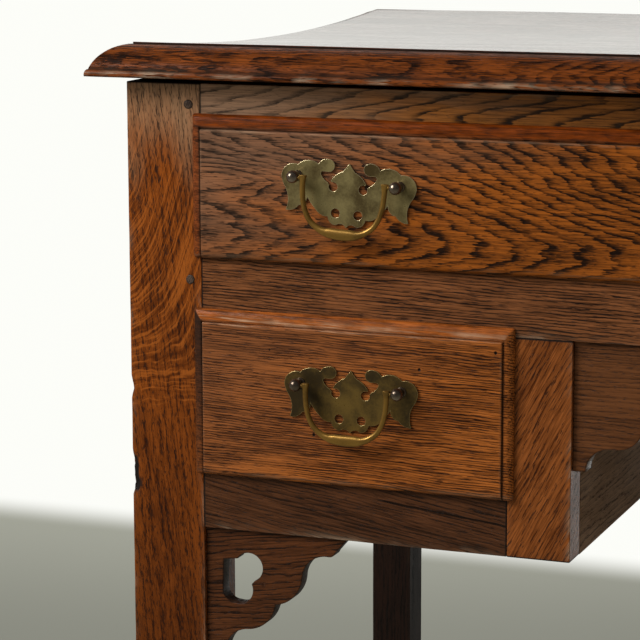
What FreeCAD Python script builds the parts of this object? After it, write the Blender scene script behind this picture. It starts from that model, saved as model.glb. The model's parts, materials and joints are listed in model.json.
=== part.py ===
import FreeCAD, Part
import math
import os

# Oak lowboy: one long lipped drawer above two deep short ones that flank a kneehole.
# Millimetres. +X is to the right, +Y to the back and +Z up. The origin is on the floor, under the
# middle of the lowboy's outer box.

# Carcass
carcass_width = 780.0        # over the outer faces of the legs
carcass_depth = 465.5        # front of the front legs to back of the rear legs
floor_to_rail = 402.0        # floor to the underside of the bottom rails
front_leg_width = 50.0
front_leg_depth = 49.4
rear_leg_width = 32.0
rear_leg_depth = 29.0
rear_leg_inset = 3.5         # outer face of a rear leg, in from the front leg's
leg_chamfer = 9.0            # on the inner corner of a front leg, below its bracket
chamfer_stop_drop = 68.0     # underside of the rail to the top of that chamfer's stop
chamfer_stop_length = 24.0
rail_thickness = 22.0
bottom_rail_height = 41.7
lower_opening_height = 94.8
mid_rail_height = 43.7
upper_opening_height = 78.6
top_rail_height = 24.4
lower_opening_width = 201.5
stile_width = 40.0
side_thickness = 18.0
side_inset = 4.0             # outer face of a side board, in from the leg's
back_thickness = 18.0
partition_thickness = 18.0

# Joints of the carcass
tenon_length = 30.0
tenon_thickness = 8.0
tenon_shoulder = 5.0         # taken off each edge of a rail
rear_tenon_length = 14.0     # back board into a rear leg
rear_tenon_thickness = 7.0
side_tenon_length = 18.0     # side board into a front leg and a rear leg
peg_diameter = 6.0
peg_length = 38.0
peg_inset = 7.7              # peg's axis, in from the shoulder of the tenon that it holds
peg_proud = 0.4
top_peg_rise = 11.2          # peg in the top rail, above the long drawer's opening
mid_peg_drop = 20.4          # peg in the middle rail, below that opening
side_peg_length = 24.0
side_peg_spacing = 170.0

# Top board, cupped upward at its front and back edges
front_overhang = 21.0        # past the front legs
side_overhang = 20.0
rear_overhang = 2.5          # past the rear legs
front_gap = 2.0              # where the cupped board lifts off the front of a leg
cup_radius = 2590.0
cup_line = 250.0             # lowest line of the cupped face, behind the carcass's front
fillet_drop = 1.2
thumb_run = 21.5
thumb_drop = 14.9
bead_height = 6.6
bead_reach = 2.0

# Pierced brackets and the kneehole apron
bracket_reach = 96.5
bracket_thickness = 10.5
bracket_setback = 3.0
apron_drop = 80.0            # depth of the apron beside the stiles
apron_rise = 34.0            # depth of the apron under the middle of its arch
apron_cove = 15.0
apron_foot = 8.0             # level edge beside a stile
apron_fillet = 5.0           # level step between one curve and the next
apron_bow = 4.0              # depth of the arch's shoulder below its crown
apron_thickness = 14.0
apron_setback = 3.0

# Drawer bearers and glue blocks
runner_thickness = 20.0
runner_cover = 12.0          # how far a runner reaches in under its drawer
guide_height = 20.0
kicker_thickness = 14.0
block_width = 60.0
block_depth = 22.0
block_drop = 24.0            # underside of a glue block, below the top of the front leg
block_pitch = 230.0

# Drawers
lip_overlap = 6.0            # drawer front over the rails above and below it
lip_side_overlap = 4.6       # drawer front over the uprights beside it
lip_edge = 0.8
lip_foot_run = 4.5           # rounding of the lower edge
field_height = 6.0           # front of the raised field, in front of the carcass
field_step = 1.2
upper_moulding_width = 9.4   # along the top edge of the long drawer's front
lower_moulding_width = 8.6   # along the top edge of a short drawer's front
side_moulding_width = 6.8
front_body = 16.0            # drawer front behind its lip
drawer_clearance = 0.8       # each side of a drawer and above it
drawer_side_thickness = 10.0
drawer_back_thickness = 9.0
drawer_bottom_thickness = 7.0
drawer_bottom_lift = 6.0     # under a drawer's bottom board
groove_depth = 5.0
drawer_rear_gap = 14.0       # behind a closed drawer
tail_length = 11.0           # front dovetails, lapped inside the drawer front
tail_slope = 0.18
upper_tail_count = 2
lower_tail_count = 3

# Handles
bore_spacing = 66.4
plate_thickness = 1.2
ball_radius = 4.0
ball_reach = 9.5             # centre of the ball, in front of the drawer's field
neck_radius = 2.3
collar_radius = 3.2
collar_thickness = 1.0
shank_radius = 2.1
shank_clearance = 0.25
nut_size = 10.0
nut_thickness = 3.0
shank_past_nut = 1.5
pin_radius = 1.2
pin_clearance = 0.3
bail_half_width = 26.5       # middle of an arm, out from the middle of the bail
arm_width = 3.3
arm_flare = 5.0
arm_top = 1.6                # flat end of an arm, above its pin
bail_drop = 32.1             # pin's axis to the middle of the grip
grip_height = 7.0
grip_thickness = 4.4
plate_axis_height = 12.6     # the posts' line, above the middle of the plate's four holes
plate_hole_radius = 2.9
plate_hole_spread = 14.6     # between the two lower holes
plate_hole_drop = 8.0        # the two lower holes, below the middle of the four
upper_handle_inset = 100.6   # handle's middle, in from an end of the long drawer's opening
upper_handle_rise = -4.5     # middle of the plate's holes, above the middle of the drawer front
lower_handle_shift = 1.6     # handle's middle, from the middle of a short drawer to the kneehole
lower_handle_rise = -1.8
upper_left_tilt = 3.7        # degrees, right-hand end down
lower_left_tilt = 1.0
upper_right_tilt = 0.0
lower_right_tilt = 0.0

# Levels and lines worked out from the sizes above
half_width = carcass_width / 2
front = (front_overhang - carcass_depth - rear_overhang) / 2
back = front + carcass_depth
rear_leg_front = back - rear_leg_depth
lower_bottom = floor_to_rail + bottom_rail_height
lower_top = lower_bottom + lower_opening_height
upper_bottom = lower_top + mid_rail_height
upper_top = upper_bottom + upper_opening_height
front_leg_height = upper_top + top_rail_height
leg_inner = half_width - front_leg_width
stile_outer = leg_inner - lower_opening_width
kneehole_half = stile_outer - stile_width
side_outer = half_width - side_inset
side_inner = side_outer - side_thickness
back_front = back - back_thickness
drawer_rear = back_front - drawer_rear_gap
top_thickness = fillet_drop + thumb_drop + bead_height
moulding_run = thumb_run + bead_reach
cup_y = front + cup_line
under_radius = cup_radius + top_thickness
axis_z = front_leg_height + front_gap + math.sqrt(under_radius ** 2 - cup_line ** 2)

SIDES = {"left": -1, "right": 1}


def vector(x, y, z):
    return FreeCAD.Vector(x, y, z)


def box(x0, x1, y0, y1, z0, z1):
    """Box between two corners given as pairs of limits, in either order along X."""
    low = min(x0, x1)
    return Part.makeBox(abs(x1 - x0), y1 - y0, z1 - z0, vector(low, y0, z0))


def outline(start, segments, place):
    """Closed face. A segment is (end,) for a straight line or (middle, end) for an arc."""
    edges = []
    last = start
    for segment in segments:
        end = segment[-1]
        if len(segment) == 1:
            if end != last:
                edges.append(Part.LineSegment(place(*last), place(*end)).toShape())
        else:
            edges.append(Part.Arc(place(*last), place(*segment[0]), place(*end)).toShape())
        last = end
    return Part.Face(Part.Wire(edges))


def reflected(start, half, flip):
    """Half an outline reflected and run backwards, to the reflection of start."""
    ends = [start] + [segment[-1] for segment in half]
    backwards = []
    for index in reversed(range(len(half))):
        middle = [flip(point) for point in half[index][:-1]]
        backwards.append(tuple(middle + [flip(ends[index])]))
    return backwards


def with_reflection(start, half, flip):
    """Half an outline, then its reflection run backwards to the reflection of start."""
    return half + reflected(start, half, flip)


def scaled(segments, factor):
    """Segments with every point scaled about the origin."""
    return [tuple((factor * u, factor * v) for u, v in segment) for segment in segments]


def crown_height(y):
    """Height of the cupped board's upper face at a distance y from the origin."""
    return axis_z - math.sqrt(cup_radius ** 2 - (y - cup_y) ** 2)


def under_top_height(y):
    """Height of the cupped board's underside at a distance y from the origin."""
    return axis_z - math.sqrt(under_radius ** 2 - (y - cup_y) ** 2)


def scribed(shape):
    """Trim a piece to the cupped underside of the top board."""
    near = front - front_overhang
    far = back + front_overhang
    start = (near, under_top_height(near))
    segments = [
        ((cup_y, under_top_height(cup_y)), (far, under_top_height(far))),
        ((far, axis_z),),
        ((near, axis_z),),
        (start,),
    ]
    region = outline(start, segments, lambda y, z: vector(-carcass_width, y, z))
    return shape.cut(region.extrude(vector(2 * carcass_width, 0, 0)))


def edge_moulding(arris, hand):
    """Top board's edge from its arris downwards, as segments running out along hand."""
    radius = (thumb_run ** 2 + thumb_drop ** 2) / (2 * thumb_drop)
    middle = math.asin(thumb_run / radius) / 2
    thumb_foot = fillet_drop + thumb_drop

    def at(out, down):
        return (arris[0] + hand * out, arris[1] - down)

    return [
        (at(0.0, fillet_drop),),
        (at(radius * math.sin(middle), fillet_drop + radius * (1 - math.cos(middle))),
         at(thumb_run, thumb_foot)),
        (at(moulding_run, thumb_foot + bead_height / 2), at(thumb_run, top_thickness)),
    ]


def moulded_section(near, far, crown, foot, place):
    """Section between two moulded edges, closed by level lines at the crown and at the foot."""
    far_edge = edge_moulding(far, 1)
    near_edge = edge_moulding(near, -1)
    near_end = near_edge[-1][-1]
    far_end = far_edge[-1][-1]
    start = (far[0], crown)
    segments = [(far,)] + far_edge + [((far_end[0], foot),), ((near_end[0], foot),), (near_end,)]
    ends = [near] + [segment[-1] for segment in near_edge]
    for index in reversed(range(len(near_edge))):
        segments.append(tuple(list(near_edge[index][:-1]) + [ends[index]]))
    segments += [((near[0], crown),), (start,)]
    return outline(start, segments, place)


def top_board():
    """Board bent about an axis above it, moulded on its four edges."""
    arris_x = half_width + side_overhang - moulding_run
    crown = crown_height(cup_y)
    across = moulded_section((-arris_x, crown), (arris_x, crown), crown, crown - top_thickness,
                             lambda x, z: vector(x, cup_y, z))
    axis = vector(0, cup_y, axis_z)
    reach = math.degrees(math.asin((cup_line + 2 * front_overhang) / cup_radius))
    across.rotate(axis, vector(1, 0, 0), reach)
    bent = across.revolve(axis, vector(1, 0, 0), -2 * reach)
    near_y = front - front_overhang + moulding_run
    far_y = back + rear_overhang - moulding_run
    near = (near_y, crown_height(near_y))
    far = (far_y, crown_height(far_y))
    along = moulded_section(near, far, near[1] + top_thickness, crown - 3 * top_thickness,
                            lambda y, z: vector(-carcass_width, y, z))
    return bent.common(along.extrude(vector(2 * carcass_width, 0, 0)))


def front_leg(side):
    """Square leg with a stopped chamfer on its inner corner."""
    blank = box(side * leg_inner, side * half_width, front, front + front_leg_depth,
                0, front_leg_height)
    depth = leg_chamfer / math.sqrt(2)
    inward = vector(side, -1, 0).normalize()
    across = vector(side, 1, 0).normalize()
    corner = vector(side * leg_inner, front + front_leg_depth, 0) - across * (2 * leg_chamfer)
    stop_top = floor_to_rail - chamfer_stop_drop
    stop_foot = stop_top - chamfer_stop_length
    segments = [
        ((depth, -leg_chamfer),),
        ((depth, stop_foot),),
        ((depth * 0.75, stop_foot + chamfer_stop_length * 0.6), (0.0, stop_top)),
        ((-leg_chamfer, stop_top),),
        ((-leg_chamfer, -leg_chamfer),),
    ]
    face = outline((-leg_chamfer, -leg_chamfer), segments,
                   lambda depth_in, z: corner + inward * depth_in + vector(0, 0, z))
    return scribed(blank.cut(face.extrude(across * (4 * leg_chamfer))))


def rear_leg(side):
    """Slender leg, its head scribed to the cupped board."""
    outer = half_width - rear_leg_inset
    return scribed(box(side * (outer - rear_leg_width), side * outer, rear_leg_front, back,
                       0, front_leg_height))


def rail_tenon(x0, x1, z0, z1):
    middle = front + rail_thickness / 2
    return box(x0, x1, middle - tenon_thickness / 2, middle + tenon_thickness / 2,
               z0 + tenon_shoulder, z1 - tenon_shoulder)


def long_rail(z0, z1):
    """Rail between the front legs, tenoned into both."""
    body = scribed(box(-leg_inner, leg_inner, front, front + rail_thickness, z0, z1))
    reach = leg_inner + tenon_length
    return body.fuse(rail_tenon(-reach, reach, z0, z1)).removeSplitter()


def bottom_rail(side):
    """Short rail under a lower drawer, tenoned into the leg and the stile."""
    z1 = lower_bottom
    body = box(side * stile_outer, side * leg_inner, front, front + rail_thickness,
               floor_to_rail, z1)
    into_stile = stile_outer - stile_width / 2
    tenon = rail_tenon(side * into_stile, side * (leg_inner + tenon_length), floor_to_rail, z1)
    return body.fuse(tenon).removeSplitter()


def stile(side):
    """Upright beside the kneehole, tenoned up into the middle rail."""
    body = box(side * kneehole_half, side * stile_outer, front, front + rail_thickness,
               floor_to_rail, lower_top)
    middle = front + rail_thickness / 2
    tenon = box(side * (kneehole_half + tenon_shoulder), side * (stile_outer - tenon_shoulder),
                middle - tenon_thickness / 2, middle + tenon_thickness / 2,
                lower_top, lower_top + mid_rail_height / 2)
    return body.fuse(tenon).removeSplitter()


def side_board(side):
    """Wide board tenoned into the two legs of one end, scribed to the top board."""
    height = front_leg_height + top_thickness
    near = front + front_leg_depth
    body = box(side * side_inner, side * side_outer, near, rear_leg_front, floor_to_rail, height)
    middle = (side_inner + side_outer) / 2
    tenon = box(side * (middle - tenon_thickness / 2), side * (middle + tenon_thickness / 2),
                near - side_tenon_length, rear_leg_front + side_tenon_length,
                floor_to_rail + tenon_shoulder, under_top_height(cup_y) - tenon_shoulder)
    return scribed(body).fuse(tenon).removeSplitter()


def back_board():
    """Board between the rear legs, tenoned into them and scribed to the top board."""
    inner = half_width - rear_leg_inset - rear_leg_width
    body = box(-inner, inner, back_front, back, floor_to_rail, front_leg_height + top_thickness)
    middle = (back_front + back) / 2
    reach = inner + rear_tenon_length
    tenon = box(-reach, reach, middle - rear_tenon_thickness / 2, middle + rear_tenon_thickness / 2,
                floor_to_rail + tenon_shoulder, under_top_height(cup_y) - tenon_shoulder)
    return scribed(body).fuse(tenon).removeSplitter()


def frame_peg(x, z):
    """Peg driven through a leg's face and a rail's tenon."""
    return Part.makeCylinder(peg_diameter / 2, peg_length + peg_proud,
                             vector(x, front - peg_proud, z), vector(0, 1, 0))


def side_peg(side, outer, y, z):
    """Peg driven through a leg's outer face and a side board's tenon."""
    start = vector(side * (outer + peg_proud), y, z)
    return Part.makeCylinder(peg_diameter / 2, side_peg_length + peg_proud, start,
                             vector(-side, 0, 0))


def pegs():
    """Pegs of the two long rails and of the side boards."""
    solids = []
    side_middle = (floor_to_rail + under_top_height(cup_y)) / 2
    for side in SIDES.values():
        for z in (upper_top + top_peg_rise, upper_bottom - mid_peg_drop):
            solids.append(frame_peg(side * (leg_inner + peg_inset), z))
        for z in (side_middle - side_peg_spacing / 2, side_middle + side_peg_spacing / 2):
            solids.append(side_peg(side, half_width, front + front_leg_depth - peg_inset, z))
            solids.append(side_peg(side, half_width - rear_leg_inset, rear_leg_front + peg_inset,
                                   z))
    return solids


def bracket(side):
    """Pierced corner bracket: two lobed arms that mirror each other about the diagonal."""
    half = [
        ((88.2, 9.6),),
        ((86.6, 11.9), (83.5, 12.7)),
        ((70.5, 17.5), (65.7, 28.5)),
        ((60.3, 40.8), (47.6, 47.6)),
    ]
    size = bracket_reach / 96.5
    tip = (bracket_reach, 0.0)
    segments = with_reflection(tip, scaled(half, size), lambda point: (point[1], point[0]))
    segments = segments + [((0.0, 0.0),), (tip,)]
    piercing = [
        ((21.4, 19.6),),
        ((35.9, 17.9), (33.2, 33.2)),
        ((31.0, 35.6),),
        ((28.6, 46.8), (20.0, 48.9)),
        ((14.3, 46.9), (11.2, 41.5)),
        ((11.8, 20.7),),
    ]
    near = front + bracket_setback

    def place(out, down):
        return vector(side * (leg_inner - out), near, floor_to_rail - down)

    through = vector(0, bracket_thickness, 0)
    board = outline(tip, segments, place).extrude(through)
    start = (11.8 * size, 20.7 * size)
    return board.cut(outline(start, scaled(piercing, size), place).extrude(through))


def kneehole_apron():
    """Shaped board under the middle rail, between the stiles."""
    cove = apron_cove
    first = kneehole_half - apron_foot
    second = first - cove - apron_fillet
    third = second - cove - apron_fillet
    half = [
        ((kneehole_half, 0.0),),
        ((kneehole_half, apron_drop),),
        ((first, apron_drop),),
        ((first - 0.3 * cove, apron_drop - 0.7 * cove), (first - cove, apron_drop - cove)),
        ((second, apron_drop - cove),),
        ((second - 0.7 * cove, apron_drop - 1.3 * cove), (second - cove, apron_drop - 2 * cove)),
        ((third, apron_drop - 2 * cove),),
        ((third / 2, apron_rise + apron_bow), (0.0, apron_rise)),
    ]
    near = front + apron_setback
    start = (0.0, 0.0)
    segments = with_reflection(start, half, lambda point: (-point[0], point[1]))
    face = outline(start, segments, lambda x, down: vector(x, near, lower_top - down))
    return face.extrude(vector(0, apron_thickness, 0))


def partition(side):
    """Upright board from a stile to the back, beside the kneehole."""
    return box(side * kneehole_half, side * (kneehole_half + partition_thickness),
               front + rail_thickness, back_front, floor_to_rail, lower_top)


def outer_bearer(side, z0, z1, reach):
    """Bar fixed to a side board, let in round the legs."""
    return box(side * (leg_inner - reach), side * side_inner,
               front + rail_thickness, back_front, z0, z1)


def inner_bearer(side, z0, z1, reach):
    """Bar fixed to a partition."""
    return box(side * (kneehole_half + partition_thickness), side * (stile_outer + reach),
               front + rail_thickness, back_front, z0, z1)


def bearers():
    """Runners, guides and kickers of the drawers, by node."""
    groups = {"upper_runners": [], "upper_guides": [], "upper_kickers": [],
              "lower_runners": [], "lower_guides": []}
    for side in SIDES.values():
        cover = runner_cover
        groups["upper_runners"].append(
            outer_bearer(side, upper_bottom - runner_thickness, upper_bottom, cover))
        groups["upper_guides"].append(
            outer_bearer(side, upper_bottom, upper_bottom + guide_height, 0.0))
        groups["upper_kickers"].append(
            scribed(outer_bearer(side, upper_top, upper_top + kicker_thickness, cover)))
        for bearer in (outer_bearer, inner_bearer):
            groups["lower_runners"].append(
                bearer(side, lower_bottom - runner_thickness, lower_bottom, cover))
            groups["lower_guides"].append(
                bearer(side, lower_bottom, lower_bottom + guide_height, 0.0))
    return groups


def top_blocks():
    """Glue blocks that hold the top board to the top rail and the back board."""
    solids = []
    z0 = front_leg_height - block_drop
    z1 = front_leg_height + top_thickness
    for column in (-1, 0, 1):
        x = column * block_pitch
        for y in (front + rail_thickness, back_front - block_depth):
            block = box(x - block_width / 2, x + block_width / 2, y, y + block_depth, z0, z1)
            solids.append(scribed(block))
    return solids


def lip_side(half, run, height):
    """Half of a lip's section, whose rounded edge has that run and height."""
    slant = math.sqrt(0.5)
    turn = (half - run * (1 - slant), lip_edge + (height - lip_edge) * slant)
    return [
        ((half, 0.0),),
        ((half, lip_edge),),
        (turn, (half - run, height)),
        ((half - run, field_height),),
        ((0.0, field_height),),
    ]


def lip_section(low, high, low_edge, high_edge, place):
    """Section of a drawer's lip across its width or its height, out from the carcass's face."""
    half = (high - low) / 2
    middle = (high + low) / 2
    start = (0.0, 0.0)
    below = reflected(start, lip_side(half, *low_edge), lambda point: (-point[0], point[1]))
    return outline(start, lip_side(half, *high_edge) + below,
                   lambda across, out: place(middle + across, out))


def lipped_front(x0, x1, z0, z1, moulding):
    """Drawer front: a lip over the carcass, moulded but for its foot, and a body inside it."""
    left = x0 - lip_side_overlap
    right = x1 + lip_side_overlap
    foot = z0 - lip_overlap
    head = z1 + lip_overlap
    rise = field_height - field_step
    tall = lip_section(foot, head, (lip_foot_run, field_height), (moulding, rise),
                       lambda z, out: vector(left, front - out, z))
    wide = lip_section(left, right, (side_moulding_width, rise), (side_moulding_width, rise),
                       lambda x, out: vector(x, front - out, foot))
    tall = tall.extrude(vector(right - left, 0, 0))
    wide = wide.extrude(vector(0, 0, head - foot))
    gap = drawer_clearance
    body = box(x0 + gap, x1 - gap, front, front + front_body, z0 + gap, z1 - gap)
    return tall.common(wide).fuse(body).removeSplitter()


def tail_column(count, x0, x1, y_root, y_tip, z0, z1):
    """A row of dovetails between two heights, wider at the tip than at the root."""
    pitch = (z1 - z0) / count
    spread = abs(y_tip - y_root) * tail_slope
    tails = []
    for index in range(count):
        middle = z0 + (index + 0.5) * pitch
        root = pitch * 0.3
        tip = root + spread
        corners = [(y_root, middle - root), (y_tip, middle - tip), (y_tip, middle + tip),
                   (y_root, middle + root)]
        segments = [(corner,) for corner in corners[1:] + corners[:1]]
        face = outline(corners[0], segments, lambda y, z: vector(x0, y, z))
        tails.append(face.extrude(vector(x1 - x0, 0, 0)))
    return tails


def drawer(x0, x1, z0, z1, moulding, tail_count):
    """The five boards of a drawer for one opening."""
    gap = drawer_clearance
    body_rear = front + front_body
    back_near = drawer_rear - drawer_back_thickness
    low = z0
    high = z1 - gap
    board_foot = low + drawer_bottom_lift
    board_top = board_foot + drawer_bottom_thickness
    inner0 = x0 + gap + drawer_side_thickness
    inner1 = x1 - gap - drawer_side_thickness
    bottom = box(inner0 - groove_depth, inner1 + groove_depth, body_rear - groove_depth,
                 drawer_rear, board_foot, board_top)
    sides = []
    for outer, inner in ((x0 + gap, inner0), (x1 - gap, inner1)):
        near, far = sorted((outer, inner))
        board = box(near, far, body_rear, back_near, low, high)
        board = board.fuse(box(near, far, back_near, drawer_rear, low, board_top))
        tails = tail_column(tail_count, near, far, body_rear, body_rear - tail_length,
                            board_top, high)
        tails += tail_column(tail_count, near, far, back_near, drawer_rear, board_top, high)
        board = board.multiFuse(tails).removeSplitter()
        sides.append(board.cut(bottom))
    face = lipped_front(x0, x1, z0, z1, moulding).cut(bottom)
    rear = box(x0 + gap, x1 - gap, back_near, drawer_rear, board_top, high)
    for board in sides:
        face = face.cut(board)
        rear = rear.cut(board)
    return {"front": face, "side_left": sides[0], "side_right": sides[1], "back": rear,
            "bottom": bottom}


def plate_outline():
    """Right half of a handle's back plate from its top point, about its four holes' middle."""
    return [
        ((1.6, 20.9), (4.0, 17.9)),
        ((8.4, 15.3), (11.4, 11.5)),
        ((10.9, 10.7),),
        ((7.7, 5.9), (12.5, 9.0)),
        ((13.6, 10.4),),
        ((16.4, 12.4), (18.1, 15.0)),
        ((17.8, 16.4), (16.2, 16.8)),
        ((14.0, 16.8),),
        ((9.5, 20.6), (14.2, 24.5)),
        ((17.6, 23.6), (20.1, 20.9)),
        ((26.2, 22.7), (33.4, 19.4)),
        ((40.6, 18.1), (43.9, 11.8)),
        ((43.0, 8.2), (41.2, 4.9)),
        ((38.8, -1.8), (39.9, -9.3)),
        ((35.6, -8.8), (31.6, -5.6)),
        ((28.2, -4.3), (26.3, 0.4)),
        ((23.1, -4.1), (19.6, -7.8)),
        ((16.1, -10.1), (12.1, -10.4)),
        ((10.7, -13.8), (6.4, -15.2)),
        ((2.6, -14.4), (0.0, -16.4)),
    ]


def handle(x, z, tilt):
    """Plate, posts, nuts and bail of one handle; x and z are the middle of its four holes."""
    middle = vector(x, front - field_height, z)
    turn = FreeCAD.Rotation(vector(0, 1, 0), tilt)
    across = turn.multVec(vector(1, 0, 0))
    upward = turn.multVec(vector(0, 0, 1))
    outward = vector(0, -1, 0)

    def place(u, v, out=0.0):
        return middle + across * u + upward * v + outward * out

    size = bore_spacing / 66.4
    top_point = (0.0, 23.0 * size)
    half = scaled(plate_outline(), size)
    segments = with_reflection(top_point, half, lambda point: (-point[0], point[1]))
    plate = outline(top_point, segments, place).extrude(outward * plate_thickness)
    for hand in SIDES.values():
        hole = place(hand * plate_hole_spread / 2, -plate_hole_drop)
        plate = plate.cut(Part.makeCylinder(plate_hole_radius, plate_thickness, hole, outward))
    axis_v = plate_axis_height
    posts = []
    nuts = []
    bores = []
    shank_end = field_height + front_body + nut_thickness + shank_past_nut
    for hand in SIDES.values():
        u = hand * bore_spacing / 2
        shank = Part.makeCylinder(shank_radius, shank_end + plate_thickness,
                                  place(u, axis_v, -shank_end), outward)
        collar = Part.makeCylinder(collar_radius, collar_thickness,
                                   place(u, axis_v, plate_thickness), outward)
        neck = Part.makeCylinder(neck_radius, ball_reach - plate_thickness,
                                 place(u, axis_v, plate_thickness), outward)
        ball = Part.makeSphere(ball_radius, place(u, axis_v, ball_reach))
        post = shank.multiFuse([collar, neck, ball]).removeSplitter()
        socket_start = place(u - hand * ball_radius * 1.1, axis_v, ball_reach)
        socket = Part.makeCylinder(pin_radius + pin_clearance, ball_radius * 0.9, socket_start,
                                   across * hand)
        posts.append(post.cut(socket))
        plate = plate.cut(shank)
        bores.append(Part.makeCylinder(shank_radius + shank_clearance, shank_end + plate_thickness,
                                       place(u, axis_v, -shank_end), outward))
        nut_back = field_height + front_body + nut_thickness
        corner = place(u - nut_size / 2, axis_v - nut_size / 2, -nut_back)
        nut = Part.makePolygon([corner, corner + across * nut_size,
                                corner + (across + upward) * nut_size,
                                corner + upward * nut_size, corner])
        nut = Part.Face(nut).extrude(outward * nut_thickness)
        nuts.append(nut.cut(shank))
    return {"plate": plate, "posts": posts, "nuts": nuts, "bail": bail(place), "bores": bores}


def oval(centre, broad, deep):
    """Closed smooth wire about a centre, with its two half-widths given as vectors."""
    count = 12
    points = []
    for index in range(count):
        angle = 2 * math.pi * index / count
        points.append(centre + broad * math.cos(angle) + deep * math.sin(angle))
    curve = Part.BSplineCurve()
    curve.interpolate(points, PeriodicFlag=True)
    return Part.Wire(curve.toShape())


def bail(place):
    """Bail hanging from its pins: two arms that sweep into a swelled, flattened grip."""
    axis_v = plate_axis_height
    half = bail_half_width
    low = axis_v - bail_drop
    size = bail_drop / 32.1
    # Along one arm: middle of the section, direction of the section's plane, and its two widths.
    stations = [
        (half, axis_v + arm_top, 0, arm_flare, arm_width),
        (half, axis_v, 0, arm_flare * 0.9, arm_width),
        (half, axis_v - 2.0 * size, 0, arm_width * 1.1, arm_width),
        (half - 0.1 * size, axis_v - 6.0 * size, 0, arm_width, arm_width),
        (half - 0.7 * size, axis_v - 12.5 * size, 8, arm_width, arm_width),
        (half - 2.6 * size, axis_v - 19.7 * size, 24, arm_width, arm_width),
        (half - 6.0 * size, axis_v - 25.5 * size, 42, arm_width * 1.05, arm_width),
        (half - 11.5 * size, axis_v - 29.7 * size, 63, arm_width * 1.3, arm_width * 1.1),
        (half - 18.0 * size, low + 0.5 * size, 82, grip_height * 0.86, grip_thickness * 0.96),
        (0.0, low, 90, grip_height, grip_thickness),
    ]
    profiles = []
    for hand in (1, -1):
        ordered = stations if hand > 0 else stations[-2::-1]
        for u, v, turn, width, depth in ordered:
            angle = math.radians(turn)
            centre = place(hand * u, v, ball_reach)
            broad = place(hand * math.cos(angle), -math.sin(angle)) - place(0, 0)
            profiles.append(oval(centre, broad * (width / 2), vector(0, -depth / 2, 0)))
    loft = Part.makeLoft(profiles, True)
    pins = []
    for hand in (1, -1):
        pins.append(Part.makeCylinder(pin_radius, bore_spacing / 2 - half - ball_radius * 0.35,
                                      place(hand * half, axis_v, ball_reach),
                                      place(hand, 0) - place(0, 0)))
    return loft.multiFuse(pins).removeSplitter()


def cut_all(shape, tools):
    for tool in tools:
        shape = shape.cut(tool)
    return shape


def carcass():
    """Every fixed piece of the lowboy, by node."""
    peg_solids = pegs()
    rails = {"front_top_rail": long_rail(upper_top, upper_top + top_rail_height),
             "front_mid_rail": long_rail(lower_top, upper_bottom)}
    nodes = {"top_board": top_board(), "kneehole_apron": kneehole_apron()}
    legs = {}
    boards = {"back_board": back_board()}
    for name, side in SIDES.items():
        rails["bottom_rail_" + name] = bottom_rail(side)
        boards["side_board_" + name] = side_board(side)
        nodes["bracket_" + name] = bracket(side)
        nodes["partition_" + name] = partition(side)
        legs["front_leg_" + name] = front_leg(side)
        legs["rear_leg_" + name] = rear_leg(side)
    joined = list(rails.values()) + list(boards.values())
    for name, leg in legs.items():
        nodes[name] = cut_all(leg, joined + peg_solids)
    for name, side in SIDES.items():
        upright = stile(side)
        rails["front_mid_rail"] = rails["front_mid_rail"].cut(upright)
        nodes["stile_" + name] = upright.cut(rails["bottom_rail_" + name])
    for name, piece in list(rails.items()) + list(boards.items()):
        nodes[name] = cut_all(piece, peg_solids)
    leg_blanks = [front_leg(side) for side in SIDES.values()]
    leg_blanks += [rear_leg(side) for side in SIDES.values()]
    for name, solids in bearers().items():
        nodes[name] = Part.makeCompound([cut_all(solid, leg_blanks) for solid in solids])
    nodes["top_blocks"] = Part.makeCompound(top_blocks())
    nodes["frame_pegs"] = Part.makeCompound(peg_solids)
    return nodes


def drawers():
    """The boards and the handles of the three drawers, by node."""
    upper_middle = (upper_bottom + upper_top) / 2
    lower_middle = (lower_bottom + lower_top) / 2
    upper_handle_x = leg_inner - upper_handle_inset
    lower_handle_x = (leg_inner + stile_outer) / 2 - lower_handle_shift
    layout = {
        "long": ((-leg_inner, leg_inner, upper_bottom, upper_top, upper_moulding_width,
                  upper_tail_count),
                 {"upper_left": (-upper_handle_x, upper_middle + upper_handle_rise,
                                 upper_left_tilt),
                  "upper_right": (upper_handle_x, upper_middle + upper_handle_rise,
                                  upper_right_tilt)}),
        "left": ((-leg_inner, -stile_outer, lower_bottom, lower_top, lower_moulding_width,
                  lower_tail_count),
                 {"lower_left": (-lower_handle_x, lower_middle + lower_handle_rise,
                                 lower_left_tilt)}),
        "right": ((stile_outer, leg_inner, lower_bottom, lower_top, lower_moulding_width,
                   lower_tail_count),
                  {"lower_right": (lower_handle_x, lower_middle + lower_handle_rise,
                                   lower_right_tilt)}),
    }
    nodes = {}
    for drawer_name, (sizes, handles) in layout.items():
        boards = drawer(*sizes)
        for handle_name, position in handles.items():
            fitting = handle(*position)
            boards["front"] = cut_all(boards["front"], fitting["bores"])
            nodes["back_plate_" + handle_name] = fitting["plate"]
            nodes["handle_posts_" + handle_name] = Part.makeCompound(fitting["posts"])
            nodes["handle_nuts_" + handle_name] = Part.makeCompound(fitting["nuts"])
            nodes["bail_" + handle_name] = fitting["bail"]
        for board_name, board in boards.items():
            nodes[drawer_name + "_drawer_" + board_name] = board
    return nodes


def main():
    os.makedirs("parts", exist_ok=True)
    nodes = carcass()
    nodes.update(drawers())
    for name, shape in nodes.items():
        shape.exportStep("parts/" + name + ".step")
        print(name, len(shape.Solids), shape.isValid(), round(shape.Volume))


main()
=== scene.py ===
"""Oak lowboy with brass bail handles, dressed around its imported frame.

Lengths are in metres, or in millimetres times MM. +X runs to the right, +Y to the back and +Z up,
and the origin lies on the floor under the middle of the lowboy.
"""

import json
import logging
import math
from dataclasses import dataclass, field, replace
from enum import Enum

import bmesh
import bpy
import numpy as np
from mathutils import Matrix, Vector


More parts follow.
